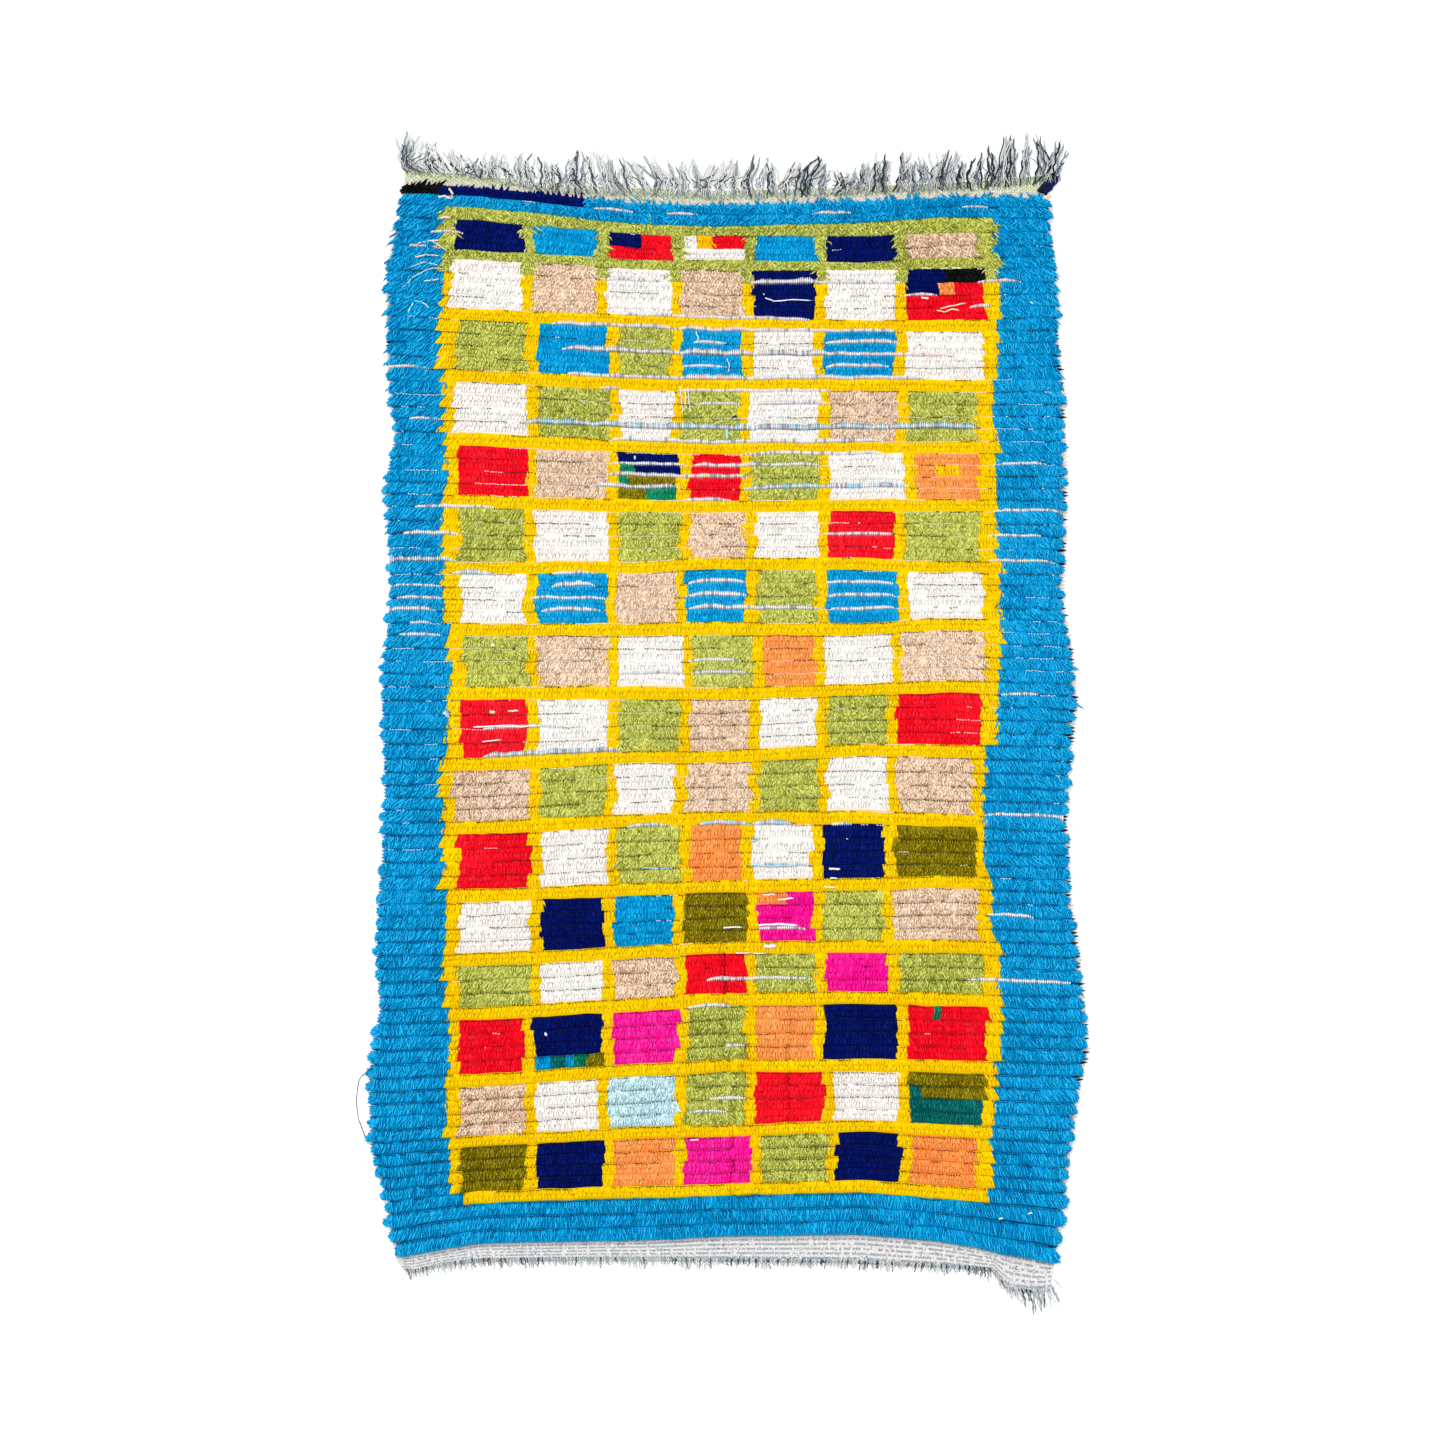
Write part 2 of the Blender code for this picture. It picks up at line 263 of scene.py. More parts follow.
def ground_material():
    """Plain weave: pale warps along the rug, over and under a weft that changes along the rug, with
    painted shade in the grooves between the crossings.
    """
    n = Nodes("ground_weave")
    where = n.add("ShaderNodeTexCoord").outputs["Object"]
    parts = n.add("ShaderNodeSeparateXYZ", {"Vector": where})
    share = n.attribute("row_share")
    wander = n.math("MULTIPLY", n.noise(where, 140.0), YARN_WANDER)
    waved = []
    for axis, pitch in (("X", WARP_PITCH), ("Y", WEFT_PITCH)):
        place = n.math("ADD", parts.outputs[axis], wander)
        waved.append(n.math("SINE", n.math("MULTIPLY", place, math.pi / pitch)))
    over = n.math("MULTIPLY", waved[0], waved[1])
    on_top = n.math("MULTIPLY_ADD", over, COVER_CONTRAST, WARP_COVER, clamp=True)
    weft_colour = n.ramp(share, [(place, linear(*shade)) for place, *shade in WEFT_COLOURS])
    fleck = n.noise(n.scaled(where, (260.0, 190.0, 190.0)), 1.0)
    pale = n.ramp(fleck, ((0.56, (0, 0, 0)), (0.64, (1, 1, 1))))
    weft_colour = n.mix(pale, weft_colour, linear(248, 246, 242))
    warp_colour = n.ramp(n.noise(n.scaled(where, (330.0, 120.0, 60.0)), 1.0), (
        (0.36, linear(120, 132, 138)),
        (0.46, linear(240, 242, 238)),
        (0.66, linear(255, 255, 252)),
    ))
    colour = n.mix(on_top, weft_colour, warp_colour)
    crossing = n.math("ABSOLUTE", over)
    # Painted shade: the weave is darkened towards olive grey in the grooves between the crossings.
    groove_shade = n.math("SUBTRACT", 1.0, crossing)
    colour = n.mix(n.math("MULTIPLY", groove_shade, PAINTED_GROOVE_SHADE), colour, linear(104, 114, 96))
    beaten = n.math("SINE", n.math("MULTIPLY", share, 2 * math.pi / BEAT_SHARE))
    broken = n.math("GREATER_THAN", n.noise(n.scaled(where, (170.0, 60.0, 60.0)), 1.0), 0.44)
    dotted = n.math("MULTIPLY", n.math("GREATER_THAN", beaten, 0.1), broken)
    dotted = n.math("MULTIPLY", dotted, n.math("GREATER_THAN", share, FOOT_WEB_SHARE))
    colour = n.mix(n.math("MULTIPLY", dotted, BEAT_DARK), colour, linear(84, 104, 124))
    n.bump(crossing, 0.6, 0.0010)
    return n.finish(colour, 0.95, 0.05)


def ground_cloth():
    """The cloth's upper face as a grid that follows the rows, thickened downwards to the floor."""
    across = GRID_ACROSS
    web = (0.0, 0.33, 0.66, 1.0)
    rows = [-part for part in reversed(web)] + list(np.arange(GRID_ROWS, ROWS, GRID_ROWS))
    rows += [ROWS + part for part in web]
    along = len(rows) - 1
    bm = bmesh.new()
    bmesh.ops.create_grid(bm, x_segments=across, y_segments=along, size=0.5)
    share = bm.verts.layers.float.new("row_share")
    shares = np.arange(across + 1) / across
    grid = np.empty((along + 1, across + 1, 2))
    for j, row in enumerate(rows):
        inside = min(max(row, 0.0), float(ROWS))
        x = np.linspace(-0.64, 0.64, across + 1)
        y = row_y(inside, x)
        inset = SIDE_INSET if 0.0 < row < ROWS else WEB_INSET
        for _ in range(3):
            left = edge_x(y[0], 0) + inset
            right = edge_x(y[-1], 1) - inset
            x = left + (right - left) * shares
            y = row_y(inside, x)
            if row < 0:
                y = y + (np.interp(x, HEAD_WEB_X, HEAD_WEB_Y) - y) * -row
            if row > ROWS:
                y = y + (np.interp(x, FOOT_WEB_X, FOOT_WEB_Y) - y) * (row - ROWS)
        grid[j, :, 0], grid[j, :, 1] = x, y
    for vert in bm.verts:
        i = round((vert.co.x + 0.5) * across)
        j = round((0.5 - vert.co.y) * along)
        vert.co = (*grid[j, i], CLOTH_THICK)
        vert[share] = (rows[j] + 1.0) / (ROWS + 2.0)
    mesh = bpy.data.meshes.new("ground_cloth")
    bmesh.ops.recalc_face_normals(bm, faces=bm.faces)
    if sum(face.normal.z for face in bm.faces) < 0:
        bmesh.ops.reverse_faces(bm, faces=bm.faces)
    bm.to_mesh(mesh)
    bm.free()
    obj = bpy.data.objects.new("ground_cloth", mesh)
    solid = obj.modifiers.new("thickness", "SOLIDIFY")
    solid.thickness = CLOTH_THICK - CLOTH_LIFT
    solid.offset = -1.0
    return dress(obj, ground_material())


ground = ground_cloth()
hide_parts("rug_body")


# Pile. Rows of cut rag yarn knotted round the warps, brushed towards the foot so that each row
# lies over the next like a roll. Every lock is one knot's tuft. A yarn is one mesh, or a few by
# place, such as the blue of the left border.
LOCK_STEP, LOCK_WIDTH, LOCK_JITTER = 0.0047, 0.0054, 0.0023
CORE_STEP, CORE_LAP, CORE_SINK = 0.0030, 0.0016, 0.0006
ROOT_TUCK, FIRST_ROOT_TUCK = 0.0022, -0.0015
PILE_TOP_HEAD, PILE_TOP_FOOT = 0.0150, 0.0185
END_ROUND, END_LOCKS = 0.018, 20
# A row's roll in section: share of its length from root to tip, and height as a share of the top.
ROLL_SECTION = ((0.02, 0.12), (0.06, 0.90), (0.42, 1.00), (0.92, 0.95), (1.00, 0.74))
DIVIDER_HALF = 0.0105
GAP_TAPER = 0.025
CREASE_HALF, CREASE_FADE = 0.005, 0.06
CREASES = (
    # x, y_from, y_to, depth
    (-0.003, -0.40, -0.70, 0.011),
    (0.014, -0.66, -0.98, 0.010),
    (0.036, -0.58, -0.80, 0.006),
    (0.122, -0.55, -0.80, 0.006),
    (-0.002, 0.40, -0.40, 0.002),
)

# The weaver's plan. Each band is four rows of seven blocks, two in the first and three in the
# thirteenth, with a row of lattice after it. Names are yarns, and "mixed" is told row by row below.
BANDS = (
    # first_row, rows, blocks from left to right
    (3, 2, ("navy", "blue", "mixed", "mixed", "blue", "navy", "tan")),
    (6, 4, ("cream", "tan", "cream", "tan", "navy", "cream", "mixed")),
    (11, 4, ("green", "blue", "green", "blue", "cream", "blue", "cream")),
    (16, 4, ("cream", "green", "cream", "green", "cream", "tan", "green")),
    (21, 4, ("red", "tan", "mixed", "red", "green", "cream", "mixed")),
    (26, 4, ("green", "cream", "green", "tan", "cream", "red", "green")),
    (31, 4, ("cream", "blue", "tan", "blue", "green", "blue", "cream")),
    (36, 4, ("green", "tan", "cream", "green", "orange", "cream", "tan")),
    (41, 4, ("red", "cream", "green", "tan", "cream", "green", "red")),
    (46, 4, ("tan", "green", "cream", "tan", "green", "cream", "tan")),
    (51, 4, ("red", "cream", "green", "orange", "cream", "navy", "olive")),
    (56, 4, ("cream", "navy", "blue", "olive", "mixed", "green", "tan")),
    (61, 3, ("green", "cream", "tan", "red", "green", "pink", "green")),
    (65, 4, ("red", "mixed", "pink", "green", "orange", "navy", "mixed")),
    (70, 4, ("tan", "cream", "sky", "green", "red", "cream", "mixed")),
    (75, 4, ("olive", "navy", "orange", "pink", "green", "navy", "orange")),
)
# A mixed block's rows from the head. Each is its yarns from left to right, and between two yarns
# the share of the block's width where the second one begins.
MIXED = {
    (0, 2): (("navy", 0.52, "red"), ("red",)),
    (0, 3): (("cream", 0.2, "gold", 0.45, "red"), ("cream",)),
    (1, 6): (("navy", 0.45, "black"), ("navy", 0.38, "orange", 0.62, "red"), ("red",), ("red",)),
    (4, 2): (
        ("navy",),
        ("emerald", 0.25, "navy"),
        ("emerald", 0.2, "olive"),
        ("olive", 0.45, "emerald"),
    ),
    (4, 6): (("orange",), ("orange", 0.3, "gold", 0.7, "orange"), ("orange",), ("orange",)),
    (11, 4): (("orange", 0.5, "pink"), ("pink",), ("pink",), ("pink",)),
    (13, 1): (
        ("navy",),
        ("navy",),
        ("navy",),
        ("blue", 0.22, "teal", 0.45, "blue", 0.58, "emerald", 0.78, "olive"),
    ),
    (13, 6): (("red", 0.32, "emerald", 0.42, "red"), ("red",), ("red",), ("red",)),
    (14, 6): (("olive",), ("teal", 0.17, "olive"), ("teal",), ("teal",)),
}
# Where each band's border, outer blocks and dividers stand: block_left and block_right are the
# outer sides of the first and the seventh block, and the dividers are centres.
BLOCK_EDGES = (
    # border_left, block_left, div_1, div_2, div_3, div_4, div_5, div_6, block_right, border_right
    (-0.532, -0.509, -0.375, -0.233, -0.093, 0.048, 0.180, 0.334, 0.475, 0.509),
    (-0.532, -0.517, -0.375, -0.236, -0.093, 0.042, 0.179, 0.333, 0.490, 0.515),
    (-0.538, -0.507, -0.367, -0.214, -0.093, 0.042, 0.176, 0.333, 0.483, 0.513),
    (-0.530, -0.511, -0.367, -0.212, -0.092, 0.036, 0.188, 0.336, 0.473, 0.507),
    (-0.530, -0.505, -0.368, -0.215, -0.080, 0.039, 0.186, 0.349, 0.477, 0.511),
    (-0.534, -0.502, -0.372, -0.214, -0.078, 0.047, 0.187, 0.332, 0.477, 0.511),
    (-0.532, -0.500, -0.370, -0.217, -0.086, 0.050, 0.181, 0.337, 0.483, 0.519),
    (-0.521, -0.494, -0.366, -0.211, -0.070, 0.062, 0.180, 0.325, 0.488, 0.519),
    (-0.526, -0.500, -0.367, -0.214, -0.076, 0.054, 0.184, 0.315, 0.483, 0.515),
    (-0.538, -0.515, -0.364, -0.218, -0.087, 0.054, 0.185, 0.316, 0.464, 0.488),
    (-0.534, -0.505, -0.361, -0.214, -0.078, 0.041, 0.174, 0.310, 0.471, 0.490),
    (-0.530, -0.505, -0.361, -0.223, -0.089, 0.049, 0.177, 0.309, 0.473, 0.502),
    (-0.532, -0.505, -0.362, -0.225, -0.086, 0.048, 0.179, 0.318, 0.488, 0.519),
    (-0.524, -0.505, -0.375, -0.223, -0.082, 0.046, 0.177, 0.334, 0.492, 0.522),
    (-0.532, -0.503, -0.371, -0.233, -0.086, 0.047, 0.196, 0.339, 0.486, 0.509),
    (-0.521, -0.500, -0.368, -0.222, -0.086, 0.058, 0.200, 0.341, 0.471, 0.500),
)
# Where the ground shows between a row and the next: the locks there stop short by that much.
GAPS = (
    # row_above, x_from, x_to, width, tint
    (0, -0.250, -0.175, 0.0036, "pink"),
    (0, -0.115, -0.055, 0.0020, "pink"),
    (0, 0.165, 0.240, 0.0042, "pink"),
    (0, 0.450, 0.500, 0.0020, "pink"),
    (3, -0.560, -0.500, 0.0030, "pink"),
    (4, -0.600, -0.545, 0.0030, "pink"),
    (6, 0.045, 0.180, 0.0076, "grey"),
    (6, 0.170, 0.340, 0.0030, "grey"),
    (6, -0.240, -0.130, 0.0020, "grey"),
    (6, 0.480, 0.560, 0.0040, "pink"),
    (7, 0.340, 0.400, 0.0020, "grey"),
    (8, 0.465, 0.505, 0.0040, "pink"),
    (9, -0.200, 0.160, 0.0022, "grey"),
    (10, -0.330, -0.090, 0.0045, "grey"),
    (10, -0.090, 0.050, 0.0055, "pink"),
    (10, 0.040, 0.330, 0.0036, "grey"),
    (11, -0.060, 0.000, 0.0026, "pink"),
    (11, 0.190, 0.330, 0.0060, "pink"),
    (12, -0.310, -0.080, 0.0080, "grey"),
    (12, -0.090, 0.060, 0.0085, "pink"),
    (12, 0.050, 0.200, 0.0100, "grey"),
    (12, 0.190, 0.420, 0.0050, "pink"),
    (13, 0.190, 0.310, 0.0050, "pink"),
    (13, -0.080, 0.000, 0.0016, "white"),
    (14, -0.640, -0.560, 0.0030, "pink"),
    (14, -0.300, -0.080, 0.0050, "grey"),
    (14, -0.090, 0.040, 0.0070, "pink"),
    (14, 0.030, 0.380, 0.0046, "grey"),
    (15, -0.240, -0.200, 0.0040, "pink"),
    (15, -0.090, 0.200, 0.0026, "grey"),
    (16, -0.060, 0.030, 0.0030, "grey"),
    (16, 0.050, 0.200, 0.0055, "grey"),
    (17, 0.070, 0.120, 0.0024, "grey"),
    (18, -0.600, -0.540, 0.0030, "white"),
    (18, -0.380, 0.060, 0.0100, "sky"),
    (18, 0.050, 0.480, 0.0105, "sky"),
    (19, -0.220, 0.300, 0.0052, "white"),
    (20, 0.030, 0.300, 0.0036, "white"),
    (21, -0.215, -0.080, 0.0026, "white"),
    (21, -0.060, 0.180, 0.0050, "white"),
    (21, 0.510, 0.610, 0.0030, "white"),
    (22, -0.230, 0.045, 0.0046, "cream"),
    (23, -0.260, -0.085, 0.0062, "white"),
    (23, 0.035, 0.350, 0.0062, "sky"),
    (24, -0.080, 0.010, 0.0036, "white"),
    (25, -0.590, -0.440, 0.0030, "white"),
    (25, 0.510, 0.640, 0.0032, "white"),
    (27, -0.612, -0.510, 0.0066, "white"),
    (27, 0.190, 0.320, 0.0024, "white"),
    (27, 0.500, 0.600, 0.0028, "white"),
    (29, -0.640, -0.510, 0.0070, "sky"),
    (29, 0.500, 0.620, 0.0032, "cream"),
    (30, -0.520, -0.440, 0.0060, "sky"),
    (30, -0.330, -0.250, 0.0030, "white"),
    (31, -0.630, -0.540, 0.0030, "white"),
    (31, -0.330, -0.250, 0.0090, "white"),
    (31, -0.070, 0.040, 0.0050, "white"),
    (31, 0.190, 0.320, 0.0030, "white"),
    (32, -0.625, -0.540, 0.0040, "white"),
    (32, -0.370, -0.230, 0.0026, "white"),
    (32, -0.080, 0.040, 0.0060, "white"),
    (32, 0.190, 0.320, 0.0040, "white"),
    (33, -0.640, -0.550, 0.0060, "white"),
    (33, -0.350, -0.240, 0.0070, "white"),
    (33, -0.070, 0.180, 0.0050, "white"),
    (33, 0.200, 0.320, 0.0040, "white"),
    (34, -0.600, -0.560, 0.0040, "white"),
    (35, -0.620, -0.540, 0.0036, "white"),
    (37, -0.070, 0.030, 0.0030, "white"),
    (38, -0.200, -0.090, 0.0030, "grey"),
    (38, -0.065, 0.045, 0.0060, "grey"),
    (40, 0.524, 0.595, 0.0036, "white"),
    (42, -0.460, -0.310, 0.0030, "white"),
    (44, -0.460, -0.200, 0.0070, "sky"),
    (49, 0.492, 0.642, 0.0032, "white"),
    (50, -0.190, -0.110, 0.0030, "sky"),
    (50, -0.050, 0.045, 0.0050, "sky"),
    (50, 0.050, 0.130, 0.0070, "sky"),
    (50, 0.200, 0.240, 0.0040, "sky"),
    (53, 0.050, 0.160, 0.0020, "sky"),
    (57, 0.498, 0.584, 0.0038, "white"),
    (58, 0.060, 0.150, 0.0022, "white"),
    (62, -0.035, 0.165, 0.0030, "white"),
    (62, 0.460, 0.655, 0.0034, "white"),
    (64, -0.072, 0.012, 0.0026, "white"),
    (67, 0.000, 0.036, 0.0030, "grey"),
    (71, -0.032, 0.036, 0.0026, "white"),
    (72, -0.072, 0.002, 0.0028, "white"),
)


def waves(rng, x, step):
    """Smooth random values from -1 to 1 along X, one new value every step."""
    places = np.arange(-0.80, 0.80 + step, step)
    return np.interp(x, places, rng.uniform(-1.0, 1.0, len(places)))


def band_of(row):
    """The number of the band that a row is in, or None for a row of lattice or border."""
    for index, (first, count, _) in enumerate(BANDS):
        if first <= row < first + count:
            return index
    return None


def yarns_of_row(row, x, rng):
    """The yarn of each knot in a row, across the left border, the blocks and the right border."""
    side = np.where(x < 0, "left", "right").astype(object)
    names = "blue_" + side
    wobble = rng.uniform(-0.003, 0.003, 2)
    if row <= 1 or row >= 80:
        names[:] = "blue_ends"
        if row == 0:
            # The left of the first row is knotted in darker yarns.
            names[x < -0.267] = "navy"
            names[x < -0.534] = "black"
        return names
    band = band_of(row)
    near = min(range(len(BANDS)), key=lambda k: abs(BANDS[k][0] - row - 0.5))
    edges = BLOCK_EDGES[near if band is None else band]
    left, right = edges[0] + wobble[0], edges[9] + wobble[1]
    if row == 79:
        left, right = -0.498, 0.498
    inside = (x > left) & (x < right)
    if band is None:
        names[inside] = "green_lattice" if row in (2, 5) else "yellow_rows"
        return names
    names[inside] = "green_lattice" if band == 0 or row == 6 else "yellow_columns"
    lefts = [edges[1]] + [d + DIVIDER_HALF for d in edges[2:8]]
    rights = [d - DIVIDER_HALF for d in edges[2:8]] + [edges[8]]
    for block, (left, right) in enumerate(zip(lefts, rights)):
        left = left + rng.uniform(-0.003, 0.003)
        right = right + rng.uniform(-0.003, 0.003)
        here = (x > left) & (x < right)
        yarn = BANDS[band][2][block]
        if yarn != "mixed":
            names[here] = "blue_blocks" if yarn == "blue" else yarn
            continue
        start = left
        run = MIXED[band, block][row - BANDS[band][0]]
        for name, share in zip(run[::2], run[1::2] + (1.0,)):
            stop = left + (right - left) * share
            names[(x > start) & (x <= stop)] = "blue_blocks" if name == "blue" else name
            start = stop
    return names


def gap_of_row(row, x, rng):
    """How far the locks of a row stop short of the next row, as a ragged lens along each gap."""
    opening = np.zeros(len(x))
    for above, x_from, x_to, wide, _ in GAPS:
        if above == row:
            ends = np.clip(np.minimum(x - x_from, x_to - x) / GAP_TAPER, 0.0, 1.0) ** 0.6
            ragged = 0.90 + 0.25 * waves(rng, x, 0.007) + 0.25 * waves(rng, x, 0.025)
            opening = np.maximum(opening, ends * (wide * ragged + ROOT_TUCK))
    return opening


def crease_depth(x, y):
    """How far the pile sinks along the creases that run down the rug."""
    depth = np.zeros(len(x))
    for at, y_from, y_to, most in CREASES:
        fade = np.clip(np.minimum(y_from - y, y - y_to) / CREASE_FADE, 0.0, 1.0)
        depth = np.maximum(depth, most * fade * np.exp(-(((x - at) / CREASE_HALF) ** 2)))
    return depth


def brushing(x, y, left, right):
    """Sideways slope of the pile: outwards along both sides of the rug, most in the left border."""
    combed = float(np.interp(y, (-0.8, -0.3, 0.2, 0.8), (0.35, 0.8, 1.0, 1.6)))
    near = np.interp(x - left, (0.0, 0.03, 0.09, 0.115), (0.15, 0.50, 0.55, 0.0)) * combed
    further = np.interp(x - left, (0.09, 0.115, 0.14, 0.20, 0.40), (0.0, 0.42, 0.20, 0.08, 0.0))
    other = np.interp(right - x, (0.0, 0.05, 0.10, 0.16, 0.24), (0.25, 0.35, 0.35, 0.30, 0.0))
    return other - near - further


def faces_inward(points, faces):
    """Whether a closed mesh's faces point inwards, from the sign of its volume."""
    volume = 0.0
    middle = points.mean(axis=0)
    for face in faces:
        corners = points[list(face)] - middle
        for k in range(1, len(face) - 1):
            volume += np.dot(corners[0], np.cross(corners[k], corners[k + 1]))
    return volume < 0


def wall(rings, sides):
    """The four-sided faces between rings of points that follow one another."""
    faces = []
    for first in range(0, (rings - 1) * sides, sides):
        for s in range(sides):
            t = (s + 1) % sides
            faces.append((first + s, first + t, first + sides + t, first + sides + s))
    return faces


def turned_out(points, faces):
    """The corners of all faces in a row and the size of each, turned to face outwards."""
    if faces_inward(points, faces):
        faces = [tuple(reversed(face)) for face in faces]
    corners = np.array([corner for face in faces for corner in face])
    return corners, np.array([len(face) for face in faces])


# A yarn's UV map: its girth, and how far the next yarn's map is moved on so that no two are alike.
YARN_GIRTH, NEXT_YARN = 0.012, 0.618
ROLL_GIRTH = 0.03
# How light a yarn's tip is painted, between its flanks and its top, where the top is 1: part of the
# painted light and shade that the ridge sets.
TIP_PAINTED_LIGHT = 0.25


class Tufts:
    """Collects many closed yarns and skins of one yarn as arrays, and makes one mesh of them.

    Each face carries a UV map in metres, across and along the yarn, and each point a shade from
    0 to 1 and its share of the way from root to tip. The shade also carries each yarn's painted
    light on its top and painted shade on its flanks, and the share sets the painted shade at the
    knot.
    """

    def __init__(self):
        self.points, self.corners, self.totals, self.uvs = [], [], [], []
        self.shades, self.shares = [], []
        self.count = 0

    def extend(self, points, corners, totals, uvs, shades, shares):
        self.points.append(points)
        self.corners.append(corners + self.count)
        self.totals.append(totals)
        self.uvs.append(uvs)
        self.shades.append(shades)
        self.shares.append(shares)
        self.count += len(points)

    def yarns(self, paths, widths, thicks, shades, shares=None, sides=3, painted_ridge=0.0):
        """Tapered yarns: a ring at each point of a path and a point at its tip.

        The ridge argument is painted light and shade: the top of each yarn is painted paler than its
        flanks by this much.
        """
        count, points = paths.shape[:2]
        rings = points - 1
        fill = np.append(np.repeat(np.arange(rings), sides), rings)
        forward = np.gradient(paths, axis=1)
        forward /= np.linalg.norm(forward, axis=2, keepdims=True) + 1e-12
        across = np.cross(forward, np.array([0.0, 0.0, 1.0]))
        flat = np.linalg.norm(across, axis=2, keepdims=True)
        across = np.where(flat > 1e-4, across / (flat + 1e-12), np.array([1.0, 0.0, 0.0]))
        up = np.cross(across, forward)
        angles = np.pi / 2 + 2 * np.pi * np.arange(sides) / sides
        ring = (
            across[:, :rings, None] * (np.cos(angles)[:, None] * 0.5) * widths[:, :, None, None]
            + up[:, :rings, None] * (np.sin(angles)[:, None] * 0.5) * thicks[:, :, None, None]
        ) + paths[:, :rings, None]
        size = rings * sides + 1
        placed = np.empty((count, size, 3))
        placed[:, :-1] = ring.reshape(count, rings * sides, 3)
        placed[:, -1] = paths[:, -1]

        faces = wall(rings, sides)
        last = (rings - 1) * sides
        faces += [(last + s, last + (s + 1) % sides, size - 1) for s in range(sides)]
        faces.append(tuple(reversed(range(sides))))
        corners, totals = turned_out(placed[0], faces)

        lengths = np.linalg.norm(np.diff(paths, axis=1), axis=2)
        along = np.concatenate([np.zeros((count, 1)), np.cumsum(lengths, axis=1)], axis=1)
        u = np.empty((count, size))
        u[:, :-1] = np.tile(np.arange(sides) / sides * YARN_GIRTH, rings)
        u[:, -1] = YARN_GIRTH / 2
        u += (np.arange(count) * NEXT_YARN % 1.0)[:, None]
        v = np.empty((count, size))
        v[:, :-1] = np.repeat(along[:, :rings], sides, axis=1)
        v[:, -1] = along[:, -1]
        # Painted light on each yarn: 1 on its top, down to -0.5 on its flanks, and the tip's own
        # value at its tip.
        light = np.append(np.tile(np.sin(angles), rings), TIP_PAINTED_LIGHT)
        self.extend(
            placed.reshape(-1, 3),
            (corners[None] + size * np.arange(count)[:, None]).ravel(),
            np.tile(totals, count),
            np.stack([u.ravel(), v.ravel()], 1),
            (shades[:, None] + painted_ridge * (light - TIP_PAINTED_LIGHT)).ravel(),
            np.full(count * size, 0.5) if shares is None else shares[:, fill].ravel(),
        )

    def skin(self, rings, shades):
        """One closed roll through rings of points that follow ROLL_SECTION."""
        count, sides = rings.shape[:2]
        faces = wall(count, sides)
        faces.append(tuple(reversed(range(sides))))
        faces.append(tuple(range((count - 1) * sides, count * sides)))
        flat = rings.reshape(-1, 3)
        corners, totals = turned_out(flat, faces)
        share = np.array([place for place, _ in ROLL_SECTION])
        self.extend(
            flat,
            corners,
            totals,
            np.stack([np.repeat(rings[:, 0, 0], sides), np.tile(share * ROLL_GIRTH, count)], 1),
            np.repeat(shades, sides),
            np.tile(share, count),
        )

    def build(self, name):
        """One mesh object of all that was collected."""
        points, corners = np.concatenate(self.points), np.concatenate(self.corners)
        totals, uvs = np.concatenate(self.totals), np.concatenate(self.uvs)
        starts = np.concatenate([[0], np.cumsum(totals)[:-1]])
        mesh = bpy.data.meshes.new(name)
        mesh.vertices.add(len(points))
        mesh.vertices.foreach_set("co", points.astype(np.float32).ravel())
        mesh.loops.add(len(corners))
        mesh.loops.foreach_set("vertex_index", corners.astype(np.int32))
        mesh.polygons.add(len(starts))
        mesh.polygons.foreach_set("loop_start", starts.astype(np.int32))
        mesh.update(calc_edges=True)
        mesh.shade_smooth()
        layer = mesh.uv_layers.new(name="yarn")
        layer.data.foreach_set("uv", uvs[corners].astype(np.float32).ravel())
        for attribute, values in (("shade", self.shades), ("share", self.shares)):
            layer = mesh.attributes.new(attribute, "FLOAT", "POINT")
            layer.data.foreach_set("value", np.concatenate(values).astype(np.float32))
        return bpy.data.objects.new(name, mesh)


# How far a row's ends stand in from the side edges.
LEFT_END, RIGHT_END = 0.006, 0.005
# How high the roll stands at its very end and past its tip, as a share of its top.
END_HEIGHT, PAST_TIP = 0.62, (1.12, 0.50)


